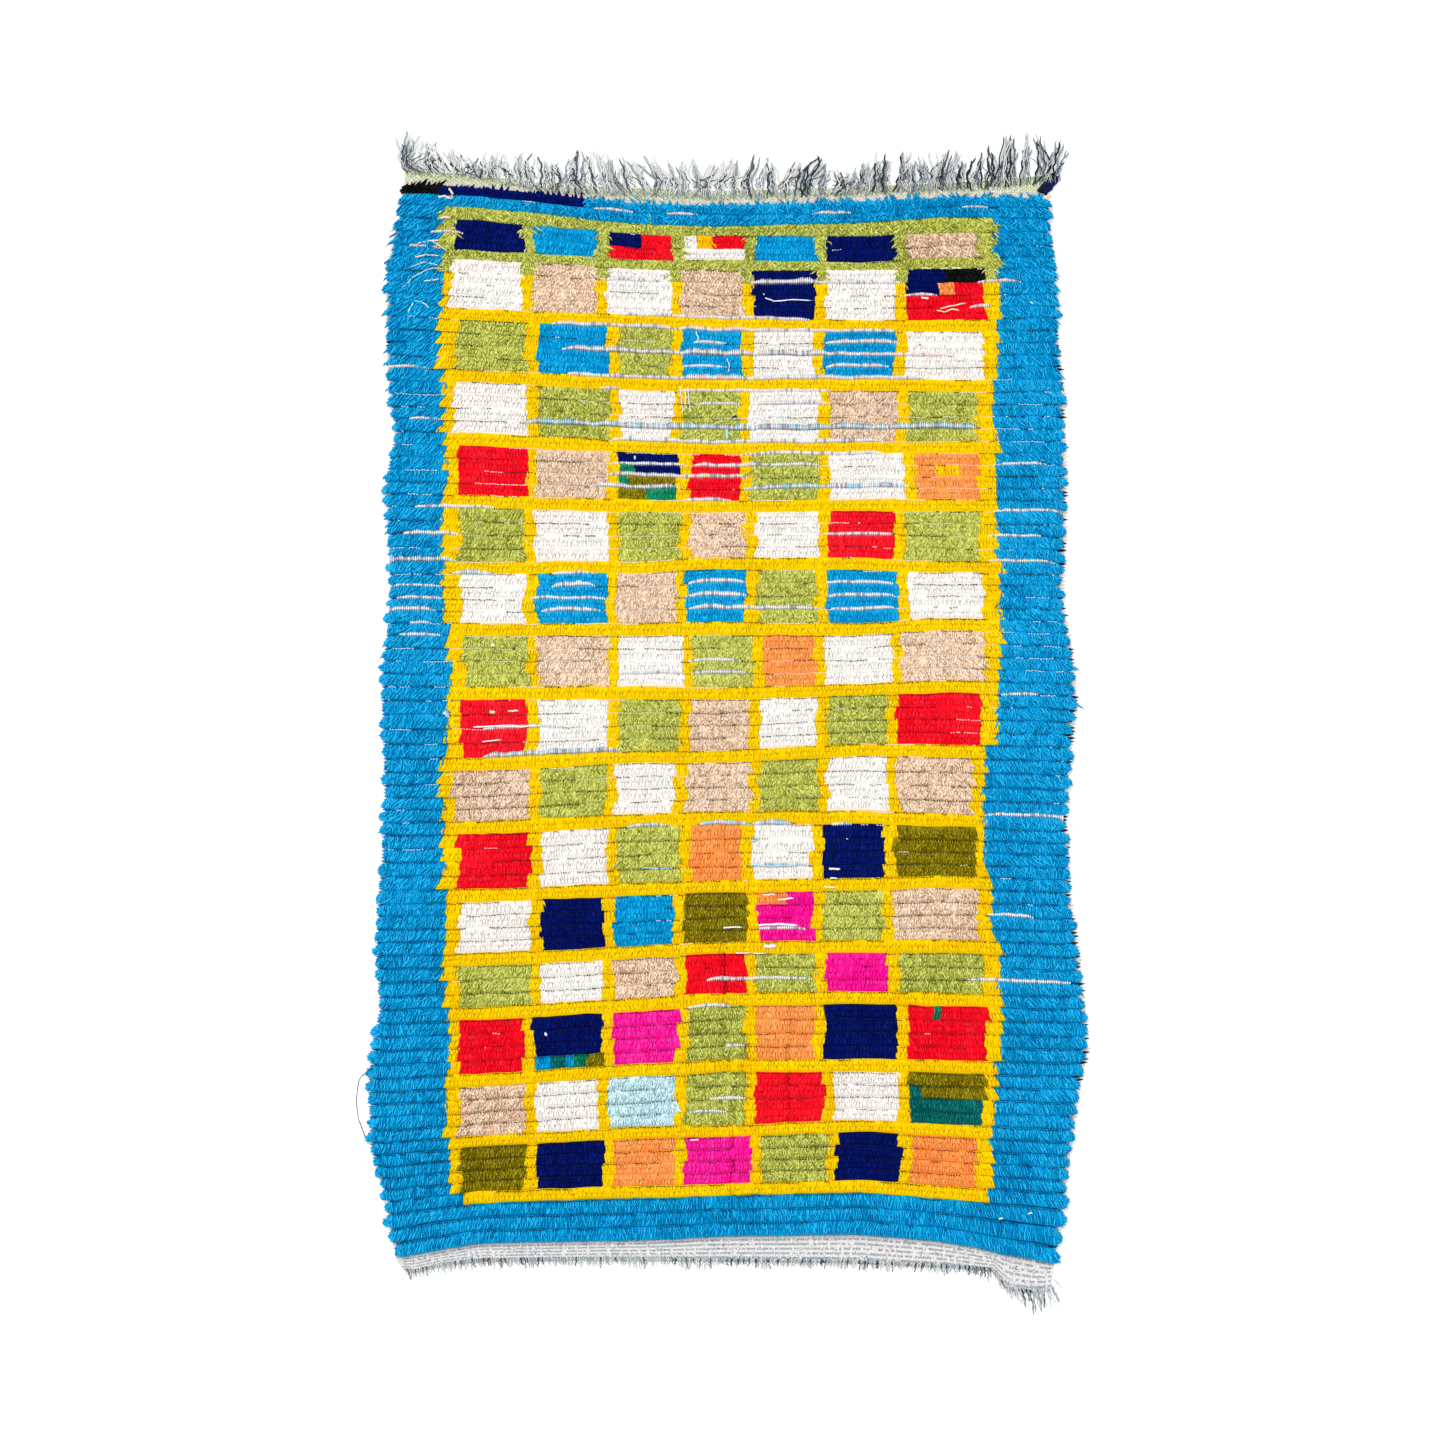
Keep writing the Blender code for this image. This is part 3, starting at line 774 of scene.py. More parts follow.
class Row:
    """One row's roll of pile: where it lies, how high it stands and how it ends at both sides."""

    def __init__(self, row, wander, rng):
        self.row, self.wander, self.rng = row, wander, rng
        self.y = float(row_y(row + 0.5, np.array([0.0]))[0])
        ends = row_y(row + 0.5, np.array([-0.65, 0.65]))
        # The last rows draw in at the left corner of the foot.
        corner = float(np.interp(row, (80, 81, 82), (0.0, 0.002, 0.011)))
        left, right = float(edge_x(ends[:1], 0)[0]), float(edge_x(ends[1:], 1)[0])
        self.left = left + LEFT_END + corner + rng.uniform(-0.004, 0.005)
        self.right = right - RIGHT_END + rng.uniform(-0.004, 0.003)
        self.shaggy = float(np.clip((self.y - 0.70) / 0.2, 0.0, 1.0))
        self.top = float(np.interp(self.y, (-0.1, 0.7), (PILE_TOP_FOOT, PILE_TOP_HEAD)))
        self.roundness = float(np.interp(self.y, (-0.95, -0.4, 0.3), (1.3, 0.7, 0.35)))
        places = self.places = np.arange(-0.70, 0.70, 0.002)
        self.opening = gap_of_row(row, places, rng)
        self.swell = 0.0006 * waves(rng, places, 0.016) + 0.0004 * waves(rng, places, 0.05)
        brushed = brushing(places, self.y, self.left, self.right)
        self.slope = brushed + 0.28 * waves(rng, places, 0.06)

    def outline(self, x):
        """Root Y, tip Y and top at each X."""
        root = row_y(self.row, x) + self.wander(self.row, x)
        tip = row_y(self.row + 1, x) + self.wander(self.row + 1, x)
        root = root + (ROOT_TUCK if self.row else FIRST_ROOT_TUCK)
        tip = tip + np.interp(x, self.places, self.opening)
        height = self.top + np.interp(x, self.places, self.swell) - crease_depth(x, tip)
        inside = np.clip(np.minimum(x - self.left, self.right - x) / END_ROUND, 0.0, 1.0)
        rounded = np.sqrt(1.0 - (1.0 - inside) ** 2)
        centre = 0.5 * (root + tip) - 0.002 * (1.0 - rounded)
        half = 0.5 * (root - tip) * (0.25 + 0.75 * rounded)
        height = height * (END_HEIGHT + (1.0 - END_HEIGHT) * rounded)
        return centre + half, centre - half, height

    def place(self, x, share):
        """The point on the roll's upper face, by its knot's X and share of the way to the tip."""
        root, tip, height = self.outline(x)
        shares = [part for part, _ in ROLL_SECTION] + [PAST_TIP[0]]
        levels = [1.0 - (1.0 - level) * self.roundness for _, level in ROLL_SECTION] + [PAST_TIP[1]]
        levels[0] = ROLL_SECTION[0][1]
        z = np.maximum(height * np.interp(share, shares, levels), CLOTH_THICK + 0.0008)
        lean = np.interp(x, self.places, self.slope) * share * (root - tip)
        return np.stack([x + lean, root + (tip - root) * share, z], 1)


def add_core(piles, line, tones):
    """Each run of one yarn along a row is one dense roll under its locks, lapped into the next."""
    x = np.arange(line.left, line.right, CORE_STEP)
    names = yarns_of_row(line.row, x, line.rng)
    # The roll is a shade lower than its locks, 0.42 against their 0.5: painted shade where it shows
    # between the locks.
    shade = 0.42 + 0.12 * waves(line.rng, x, 0.012) + tones(line.row, x)
    starts = [0] + [k for k in range(1, len(names)) if names[k] != names[k - 1]] + [len(names)]
    for start, stop in zip(starts, starts[1:]):
        if stop - start < 2:
            continue
        picked = sorted(set(range(start, stop, 3)) | {stop - 1})
        at = x[picked].copy()
        at[0] -= CORE_LAP if start else 0.0
        at[-1] += CORE_LAP if stop < len(names) else 0.0
        rings = np.stack([line.place(at, share) for share, _ in ROLL_SECTION], 1)
        rings[:, :, 2] -= CORE_SINK
        piles.setdefault(names[start], Tufts()).skin(rings, shade[picked])
    return x, names


# How a yarn is tufted: where the shingled tiers of its locks start and end along the roll, the
# points along a lock, its width as a share of a plain one's, how far it stands off the roll, how
# much its shade varies from lock to lock, and how much lighter its top is painted than its flanks,
# as painted light and shade.
TUFTING = {
    # kind: tiers, points, width, relief, shade, ridge of painted light
    "curly": (((0.04, 0.50), (0.32, 0.80), (0.62, 1.06)), 3, 0.92, 0.0017, 0.24, 0.50),
    "border": (((0.04, 0.66), (0.42, 1.06)), 4, 0.90, 0.0016, 0.22, 0.60),
    "plain": (((0.04, 0.64), (0.50, 1.06)), 3, 1.22, 0.0006, 0.07, 0.14),
}
# How much the locks of the curly yarns turn sideways.
CURLS = {"green": 0.9, "green_lattice": 1.1, "tan": 0.8, "sky": 0.6, "olive": 0.4}
BORDERS = ("blue_left", "blue_right", "blue_ends")
# The first row has one more tier, combed the other way over the head web.
COMBED_BACK = (0.40, -0.34)


def add_locks(piles, line, core_x, core_names, tones):
    """A row's locks, in tiers that overlap like shingles."""
    kinds = np.array([
        "border" if name in BORDERS else "curly" if name in CURLS else "plain" for name in core_names
    ])
    for kind in TUFTING:
        tiers = TUFTING[kind][0]
        if line.row == 0:
            tiers = tiers + (COMBED_BACK,)
        for begin, end in tiers:
            x = np.arange(line.left + 0.003, line.right - 0.003, LOCK_STEP)
            x = x + line.rng.uniform(-LOCK_JITTER, LOCK_JITTER, len(x))
            knot = np.clip(np.round((x - core_x[0]) / CORE_STEP).astype(int), 0, len(core_x) - 1)
            chosen = kinds[knot] == kind
            if chosen.any():
                add_tier(piles, line, x[chosen], core_names[knot[chosen]], kind, begin, end, tones)


def add_tier(piles, line, x, names, kind, begin, end, tones):
    """One tier of locks, each a flat tuft with its root in the roll and a bend of its own."""
    _, points, wide, relief, uneven, painted_ridge = TUFTING[kind]
    rng, count = line.rng, len(x)
    curl = np.array([CURLS.get(name, 0.10) for name in names]) + 0.4 * line.shaggy
    loose = (kind == "border") * float(np.interp(line.y, (-0.9, -0.3), (0.3, 1.0)))
    if end < 0:
        ragged = 0.45 * waves(rng, x, 0.012)
    else:
        ragged = rng.uniform(-0.07, 0.07, count) * (0.5 + curl)
    lowest = 0.5 if begin < 0.1 else -0.5
    begin, end = np.maximum(begin + rng.uniform(-0.05, 0.06, count), 0.055), end + ragged
    root, tip, _ = line.outline(x)
    own = rng.normal(0.0, 1.0, count) * (0.08 + 0.5 * curl + 0.22 * loose)
    own = own + (0.10 + 0.35 * loose) * waves(rng, x, 0.011)
    sideways = own * (end - begin) * (root - tip)
    bend = rng.normal(0.0, 1.0, count) * (0.0002 + 0.0012 * curl + 0.0014 * loose)
    lift = relief * rng.uniform(0.5, 1.4, count)
    path = np.empty((count, points, 3))
    shares = np.empty((count, points))
    for k in range(points):
        along = k / (points - 1)
        shares[:, k] = begin + (end - begin) * along
        path[:, k] = line.place(x, shares[:, k])
        shares[:, k] = np.maximum(shares[:, k], 0.07)
        path[:, k, 0] += sideways * along + bend * math.sin(math.pi * along * (points - 2))
        path[:, k, 2] += lift * np.interp(along, (0.0, 0.3, 0.7, 1.0), (lowest, 1.0, 0.9, 0.3))
    shade = 0.5 + 0.14 * waves(rng, x, 0.010) + uneven * rng.normal(0.0, 1.0, count)
    shade = shade + tones(line.row, x)
    taper = np.interp(np.arange(points - 1) / (points - 1), (0.0, 0.4, 1.0), (0.72, 1.0, 0.75))
    rings = (LOCK_WIDTH * wide * rng.uniform(0.78, 1.18, count))[:, None] * taper
    thick = np.tile(0.0016 + relief * taper, (count, 1))
    for name in sorted(set(names)):
        here = names == name
        tufts = piles.setdefault(name, Tufts())
        tufts.yarns(path[here], rings[here], thick[here], shade[here], shares[here], painted_ridge=painted_ridge)


END_LOCK = (
    # share of its reach, height as a share of the roll's, share from root to tip for its painted
    # shade at the knot
    (0.00, 0.80, 0.3),
    (0.45, 0.86, 0.5),
    (0.84, 0.66, 0.8),
    (1.00, 0.36, 0.9),
)


def add_end(piles, line, side):
    """The rounded, fanned tuft at one end of a row."""
    rng = line.rng
    outward = -1.0 if side == 0 else 1.0
    edge = line.left if side == 0 else line.right
    count = END_LOCKS
    core = edge - outward * 0.011
    root, tip, height = line.outline(np.array([edge - outward * END_ROUND]))
    middle, half = 0.5 * float(root[0] + tip[0]), 0.5 * float(root[0] - tip[0])
    reach = 0.0195 - 0.0025 * line.shaggy + rng.uniform(-0.004, 0.005)
    turn = np.linspace(1.25, -1.45, count) + rng.uniform(-0.12, 0.12, count)
    size = rng.uniform(0.80, 1.06, count)
    droop = rng.uniform(0.0, 0.40) * (1.0 + line.shaggy)
    path = np.empty((count, len(END_LOCK), 3))
    for k, (share, level, _) in enumerate(END_LOCK):
        away = share * size * reach * np.cos(turn)
        path[:, k, 0] = core + outward * away
        path[:, k, 1] = middle + (0.35 + 0.60 * share) * size * half * np.sin(turn) - droop * away
        path[:, k, 2] = float(height[0]) * level * rng.uniform(0.85, 1.05, count)
    name = yarns_of_row(line.row, np.array([core - outward * 0.002]), rng)[0]
    rings = LOCK_WIDTH * np.tile([0.8, 1.0, 0.85], (count, 1)) * rng.uniform(0.7, 1.05, (count, 1))
    thick = np.tile([0.003, 0.003, 0.002], (count, 1))
    shade = 0.5 + 0.22 * rng.normal(0.0, 1.0, count)
    shares = np.tile([shown for _, _, shown in END_LOCK], (count, 1))
    piles.setdefault(name, Tufts()).yarns(path, rings, thick, shade, shares, painted_ridge=0.6)


# The pile is a little uneven in line and tone: bends of each row, coarse and fine, and patches. Row
# by row its tone is also painted lighter around the middle rows and darker towards the head and
# foot, as painted light.
COARSE_BENDS, FINE_BENDS = 40, 90
PATCH_ROWS, PATCHES_ALONG, PATCHES_ACROSS, PATCH_WIDTH = 5, 17, 12, 0.13


def pile():
    """Every row's rolls and locks, gathered by yarn."""
    rng = np.random.default_rng(83)
    piles, lines = {}, []
    bends = [rng.uniform(-1.0, 1.0, (2, FINE_BENDS)) for _ in range(ROWS + 1)]
    patches = rng.uniform(-0.08, 0.08, (PATCHES_ALONG, PATCHES_ACROSS))

    def wander(row, x):
        coarse = np.interp(x, np.linspace(-0.8, 0.8, COARSE_BENDS), bends[row][0, :COARSE_BENDS])
        fine = np.interp(x, np.linspace(-0.8, 0.8, FINE_BENDS), bends[row][1])
        return 0.0011 * coarse + 0.0008 * fine

    def tones(row, x):
        # Painted light: the pile is made lighter around the middle rows and darker towards the head
        # and foot.
        along = float(np.interp(row, (0, 14, 40, 60, 82), (-0.06, 0.04, 0.14, 0.02, 0.00)))
        across = np.clip((x + 0.72) / PATCH_WIDTH, 0, PATCHES_ACROSS - 1).astype(int)
        return along + patches[min(row // PATCH_ROWS, PATCHES_ALONG - 1), across]

    for row in range(ROWS):
        line = Row(row, wander, rng)
        x, names = add_core(piles, line, tones)
        add_locks(piles, line, x, names, tones)
        add_end(piles, line, 0)
        add_end(piles, line, 1)
        lines.append(line)
    return piles, lines


def yarn_material(name, deep, middle, light, coarse=0.4):
    """Brushed rag yarn: fine fibres along each lock, a shade of its own, and painted shade down at
    the knot.
    """
    n = Nodes(name)
    uv = n.add("ShaderNodeUVMap", uv_map="yarn").outputs["UV"]
    where = n.add("ShaderNodeTexCoord").outputs["Object"]
    fibres = n.noise(n.scaled(uv, (1500.0, 110.0, 1.0)), 1.0, 3.0, 0.6)
    streaks = n.noise(n.scaled(uv, (420.0, 45.0, 1.0)), 1.0, 2.0, 0.5)
    patchy = n.noise(where, 28.0, 3.0, 0.6)
    mottle = n.noise(where, 260.0, 2.0, 0.6)
    value = n.math("MULTIPLY", n.attribute("shade"), 0.75)
    for part, weight in ((fibres, 0.45), (streaks, 1.0), (patchy, 0.35), (mottle, 1.6 * coarse)):
        value = n.math("ADD", value, n.math("MULTIPLY", part, weight))
    value = n.math("SUBTRACT", value, 0.775 + 0.8 * coarse)
    colour = n.ramp(value, ((0.12, deep), (0.50, middle), (0.88, light)))
    # Painted shade at the knot: the yarn turns almost black where its share from the root is under
    # about 0.065, where the rows meet.
    root = n.ramp(n.attribute("share"), ((0.02, (0.05, 0.05, 0.06)), (0.065, (1.0, 1.0, 1.0))))
    n.bump(n.math("ADD", fibres, streaks), 0.4, 0.0006)
    return n.finish(n.mix(1.0, colour, root, "MULTIPLY"), 1.0, 0.04)


YARNS = {
    # name: deep, middle, light, coarse
    "blue": (linear(0, 112, 176), linear(2, 158, 218), linear(38, 192, 244), 0.4),
    "yellow": (linear(252, 192, 0), linear(255, 212, 0), linear(255, 220, 14), 0.1),
    "green": (linear(134, 142, 40), linear(194, 200, 88), linear(232, 233, 130), 0.8),
    "cream": (linear(236, 228, 220), linear(252, 247, 241), linear(255, 253, 249), 0.15),
    "tan": (linear(186, 150, 118), linear(243, 210, 180), linear(255, 238, 216), 1.0),
    "navy": (linear(0, 6, 62), linear(3, 18, 96), linear(12, 36, 122), 0.3),
    "red": (linear(224, 2, 20), linear(250, 14, 36), linear(255, 48, 64), 0.3),
    "orange": (linear(246, 120, 50), linear(255, 160, 82), linear(255, 184, 110), 0.3),
    "pink": (linear(238, 2, 134), linear(255, 16, 158), linear(255, 76, 188), 0.3),
    "olive": (linear(92, 80, 0), linear(138, 124, 10), linear(174, 160, 36), 0.5),
    "teal": (linear(0, 66, 64), linear(8, 108, 104), linear(30, 138, 132), 0.4),
    "emerald": (linear(0, 88, 60), linear(8, 134, 94), linear(46, 166, 122), 0.4),
    "sky": (linear(164, 200, 210), linear(212, 244, 250), linear(236, 255, 255), 0.8),
    "black": (linear(2, 6, 6), linear(14, 18, 18), linear(34, 38, 40), 0.4),
    "gold": (linear(242, 168, 10), linear(255, 200, 6), linear(255, 216, 50), 0.3),
}

yarn_materials = {name: yarn_material("yarn_" + name, *spec) for name, spec in YARNS.items()}
piles_by_yarn, row_lines = pile()
for kind, tufts in sorted(piles_by_yarn.items()):
    dress(tufts.build("pile_" + kind), yarn_materials[kind.split("_")[0]])


# Weft between the rows. Where the pile stands apart the ground shows: pale cotton and rag beaten
# down between two rows of knots and crossed by the warps, and elsewhere light specks of it and
# dark specks that are partly dark weft and partly painted shadow between the rows.
TICK_STEP, TICK_WIDTH = 0.0042, 0.0043
SPECK_STEP, SPECK_CLEAR = 0.0052, 0.0010
# The shade that each tint of loose yarn carries, where weft_cotton's colours are looked up.
TINTS = {
    "dark": 0.02, "shadow": 0.15, "grey": 0.25, "pink": 0.35, "cream": 0.45,
    "sky": 0.55, "white": 0.65, "navy": 0.75, "green": 0.85, "blue": 0.95,
}


def weft_pieces():
    """Ticks of weft between the warps along the wide gaps, and specks along all rows."""
    rng = np.random.default_rng(7)
    weft = Tufts()
    for row, x_from, x_to, _, tint in GAPS:
        above, below = row_lines[row], row_lines[row + 1]
        x = np.arange(x_from, x_to, TICK_STEP) + rng.uniform(-0.0005, 0.0005)
        upper, lower = above.outline(x)[1], below.outline(x)[0]
        path = np.empty((len(x), 3, 3))
        middle = 0.5 * (upper + lower)
        for k, y, level in ((0, upper + 0.002, 0.92), (1, middle, 1.06), (2, lower - 0.005, 0.98)):
            path[:, k, 0] = x + rng.uniform(-0.0004, 0.0004, len(x))
            path[:, k, 1] = y
            path[:, k, 2] = level * above.top
        size = TICK_WIDTH * rng.uniform(0.8, 1.1, (len(x), 1))
        others = rng.choice(["white", "grey", "shadow", tint], len(x), p=(0.24, 0.18, 0.16, 0.42))
        tone = np.array([TINTS[other] for other in others])
        weft.yarns(path, size * (0.9, 1.0), size * (0.5, 0.6), tone)
        under = np.stack([x, middle, np.full(len(x), 0.88 * above.top)], 1)[None, ::2]
        deep = np.full((1, under.shape[1] - 1), 0.010)
        weft.yarns(under, deep, 0.4 * deep, np.array([TINTS["grey"]]))
    for line in row_lines[:-1]:
        x = np.arange(line.left + 0.012, line.right - 0.012, SPECK_STEP)
        clear = np.interp(x, line.places, line.opening) < SPECK_CLEAR
        often = np.interp(line.y, (-0.9, -0.4, 0.0, 0.6, 0.9), (0.45, 0.55, 0.55, 0.30, -0.6))
        run = waves(rng, x, 0.07) + 0.7 * waves(rng, x, 0.016) + often > 0.0
        if not (clear & run).any():
            continue
        x = x[clear & run] + rng.uniform(-0.0006, 0.0006, (clear & run).sum())
        _, tip, top = line.outline(x)
        pale = np.interp(line.y, (-0.6, -0.1, 0.2, 0.5, 0.7), (-1.2, -0.6, -0.1, 0.0, -0.5))
        light = waves(rng, x, 0.06) + 0.4 * waves(rng, x, 0.012) + pale > 0.0
        # Dark specks laid on the pile along the row lines are partly dark weft and partly painted
        # shadow between the rows; the light ones are pale weft.
        tone = np.where(light, TINTS["white"], TINTS["dark"])
        half = rng.uniform(0.0014, 0.0030, len(x))
        path = np.stack([x, tip - 0.0006 + rng.uniform(-0.0006, 0.0006, len(x)), top + 0.0026], 1)
        path = np.stack([path, path], 1)
        path[:, 0, 0] -= half
        path[:, 1, 0] += half
        size = rng.uniform(0.0024, 0.0038, (len(x), 1))
        weft.yarns(path, size, size, tone)
    return weft.build("weft_ticks")


def weft_material():
    """Loose cotton, rag and wool, worn in spots. Each strand's shade picks one colour."""
    n = Nodes("weft_cotton")
    uv = n.add("ShaderNodeUVMap", uv_map="yarn").outputs["UV"]
    twist = n.noise(n.scaled(uv, (300.0, 500.0, 1.0)), 1.0, 3.0, 0.6)
    tone = n.add("ShaderNodeValToRGB", {"Fac": n.attribute("shade")})
    tone.color_ramp.interpolation = "CONSTANT"
    colours = (
        (26, 28, 36), (170, 176, 190), (236, 232, 234), (252, 222, 206), (255, 240, 206),
        (184, 228, 246), (252, 254, 255), (14, 24, 84), (170, 184, 76), (30, 150, 206),
    )
    while len(tone.color_ramp.elements) < len(colours):
        tone.color_ramp.elements.new(0.5)
    for index, (element, shade) in enumerate(zip(tone.color_ramp.elements, colours)):
        element.position = index / len(colours)
        element.color = (*linear(*shade), 1.0)
    worn = n.ramp(twist, ((0.32, (1, 1, 1)), (0.44, (0, 0, 0))))
    colour = n.mix(n.math("MULTIPLY", worn, 0.45), tone.outputs["Color"], linear(110, 120, 140))
    n.bump(twist, 0.5, 0.0008)
    return n.finish(colour, 0.95, 0.05)


weft_cotton = weft_material()
dress(weft_pieces(), weft_cotton)


# Selvedges and strays. The side warps are overcast with odd rag, which shows between the ends of
# the rows, and loose threads lie on the pile where rag was joined, pulled or worn.
SELVEDGE_STEP, BEAD_WIDTH = 0.0065, 0.0062
SELVEDGE_PROUD = 0.0095
BEAD_TINTS = ("dark", "pink", "cream", "grey")
SELVEDGES = (
    # side, way out, odds of each tint
    (0, -1.0, (0.05, 0.65, 0.20, 0.10)),
    (1, 1.0, (0.48, 0.14, 0.20, 0.18)),
)
BEAD = (
    # way out from the edge, height
    (-0.008, 0.0050),
    (0.002, 0.0060),
    (0.009, 0.0020),
)
# How high a stray lies on the web, and how far above the pile's top elsewhere.
STRAY_ON_WEB, STRAY_ON_PILE, STRAY_WANDER = 0.0040, 0.0016, 0.0008
STRAYS = (
    # tint, thickness, points of the route as x, y
    ("pink", 0.0028, ((-0.600, 0.864), (-0.572, 0.874), (-0.543, 0.866))),
    ("grey", 0.0020, ((-0.614, 0.826), (-0.592, 0.848), (-0.562, 0.862), (-0.534, 0.862))),
    ("white", 0.0022, ((-0.604, 0.780), (-0.592, 0.800), (-0.578, 0.798), (-0.562, 0.786))),
    ("pink", 0.0034, ((-0.585, 0.909), (-0.566, 0.914), (-0.543, 0.915))),
    ("pink", 0.0024, ((-0.562, 0.916), (-0.524, 0.892))),
    ("pink", 0.0034, ((-0.591, 0.883), (-0.570, 0.888), (-0.543, 0.886))),
    ("pink", 0.0030, ((-0.574, 0.838), (-0.543, 0.842))),
    ("pink", 0.0050, ((-0.546, 0.997), (-0.534, 0.999), (-0.521, 0.995))),
    ("pink", 0.0040, ((-0.543, 0.957), (-0.532, 0.960), (-0.521, 0.957))),
    ("pink", 0.0045, ((-0.526, 1.014), (-0.520, 1.004), (-0.521, 0.994))),
    ("green", 0.0030, ((-0.143, 0.944), (-0.146, 0.968))),
    ("white", 0.0018, ((-0.057, 0.742), (-0.053, 0.730), (-0.056, 0.718))),
    ("white", 0.0018, ((0.002, 0.690), (0.007, 0.676), (0.004, 0.664))),
    ("grey", 0.0028, ((-0.087, 0.635), (-0.084, 0.610), (-0.082, 0.584))),
    ("white", 0.0022, ((-0.078, 0.632), (-0.076, 0.588))),
    ("grey", 0.0028, ((-0.072, 0.636), (-0.068, 0.584))),
    ("navy", 0.0060, ((0.012, 0.580), (0.022, 0.579))),
    ("sky", 0.0060, ((0.001, 0.556), (0.003, 0.536))),
    ("navy", 0.0040, ((0.002, 0.548), (0.005, 0.542))),
    ("pink", 0.0040, ((-0.173, 0.506), (-0.173, 0.498))),
    ("cream", 0.0060, ((-0.448, 0.019), (-0.438, 0.019))),
    ("white", 0.0030, ((-0.414, 0.021), (-0.393, 0.021))),
    ("white", 0.0032, ((-0.480, -0.010), (-0.440, -0.007), (-0.400, -0.009), (-0.344, -0.006))),
    ("white", 0.0026, ((-0.463, -0.037), (-0.424, -0.034))),
    ("white", 0.0060, ((-0.445, 0.146), (-0.439, 0.145))),
    ("sky", 0.0090, ((-0.536, 0.019), (-0.524, 0.008))),
    ("sky", 0.0080, ((0.048, -0.226), (0.060, -0.221))),
    ("sky", 0.0026, ((0.055, -0.272), (0.095, -0.274), (0.139, -0.271))),
    ("sky", 0.0026, ((-0.160, -0.277), (-0.091, -0.278))),
    ("white", 0.0044, ((0.196, -0.279), (0.218, -0.279))),
    ("white", 0.0034, ((0.198, -0.296), (0.214, -0.297))),
    ("white", 0.0030, ((0.186, -0.313), (0.210, -0.314))),
    ("white", 0.0036, ((0.070, -0.329), (0.096, -0.326))),
    ("white", 0.0036, ((0.100, -0.338), (0.130, -0.334))),
    ("white", 0.0044, ((0.062, -0.386), (0.100, -0.383), (0.140, -0.387))),
    ("white", 0.0036, ((-0.004, -0.390), (0.034, -0.389))),
    ("white", 0.0080, ((0.072, -0.426), (0.096, -0.425))),
    ("white", 0.0030, ((0.019, -0.439), (0.080, -0.439))),
    ("white", 0.0036, ((-0.068, -0.794), (-0.050, -0.792))),
    ("white", 0.0040, ((0.518, -0.943), (0.526, -0.942))),
    ("white", 0.0040, ((0.574, -0.933), (0.582, -0.932))),
    ("cream", 0.0026, ((0.408, 0.786), (0.426, 0.790), (0.446, 0.794), (0.456, 0.796))),
    ("cream", 0.0024, ((0.400, 0.782), (0.414, 0.779), (0.430, 0.784), (0.444, 0.782))),
    ("white", 0.0022, ((0.070, 0.813), (0.074, 0.812))),
    ("white", 0.0024, ((0.074, 0.806), (0.094, 0.799), (0.120, 0.802), (0.166, 0.801))),
    ("white", 0.0034, ((0.372, 0.806), (0.386, 0.805))),
    ("sky", 0.0050, ((0.578, 0.797), (0.584, 0.794))),
    ("dark", 0.0120, ((0.596, 1.008), (0.610, 1.024), (0.626, 1.046))),
    ("navy", 0.0130, ((0.604, 1.006), (0.620, 1.022), (0.634, 1.040))),
    ("navy", 0.0100, ((0.602, 1.014), (0.614, 1.032), (0.630, 1.048))),
    ("cream", 0.0030, ((0.372, 0.863), (0.392, 0.861))),
    ("cream", 0.0034, ((0.408, 0.862), (0.426, 0.861), (0.450, 0.863))),
    ("white", 0.0050, ((-0.344, -0.590), (-0.341, -0.596))),
    ("pink", 0.0060, ((0.604, 0.998), (0.620, 1.003))),
    ("grey", 0.0018, ((0.646, 0.506), (0.686, 0.505))),
    ("grey", 0.0018, ((0.652, 0.279), (0.676, 0.280))),
    ("grey", 0.0018, ((0.656, 0.254), (0.688, 0.257))),
    ("dark", 0.0018, (
        (-0.672, -0.657), (-0.700, -0.680), (-0.704, -0.728), (-0.699, -0.760), (-0.680, -0.808),
    )),
    ("grey", 0.0022, ((0.526, -1.045), (0.553, -1.079), (0.568, -1.108), (0.578, -1.098))),
    ("dark", 0.0022, ((0.606, -1.089), (0.606, -1.117))),
    ("grey", 0.0022, ((0.619, -1.079), (0.638, -1.113), (0.648, -1.122))),
    ("grey", 0.0026, ((-0.604, -1.044), (-0.616, -1.058), (-0.620, -1.070))),
    ("grey", 0.0026, ((-0.600, -1.046), (-0.604, -1.062))),
)


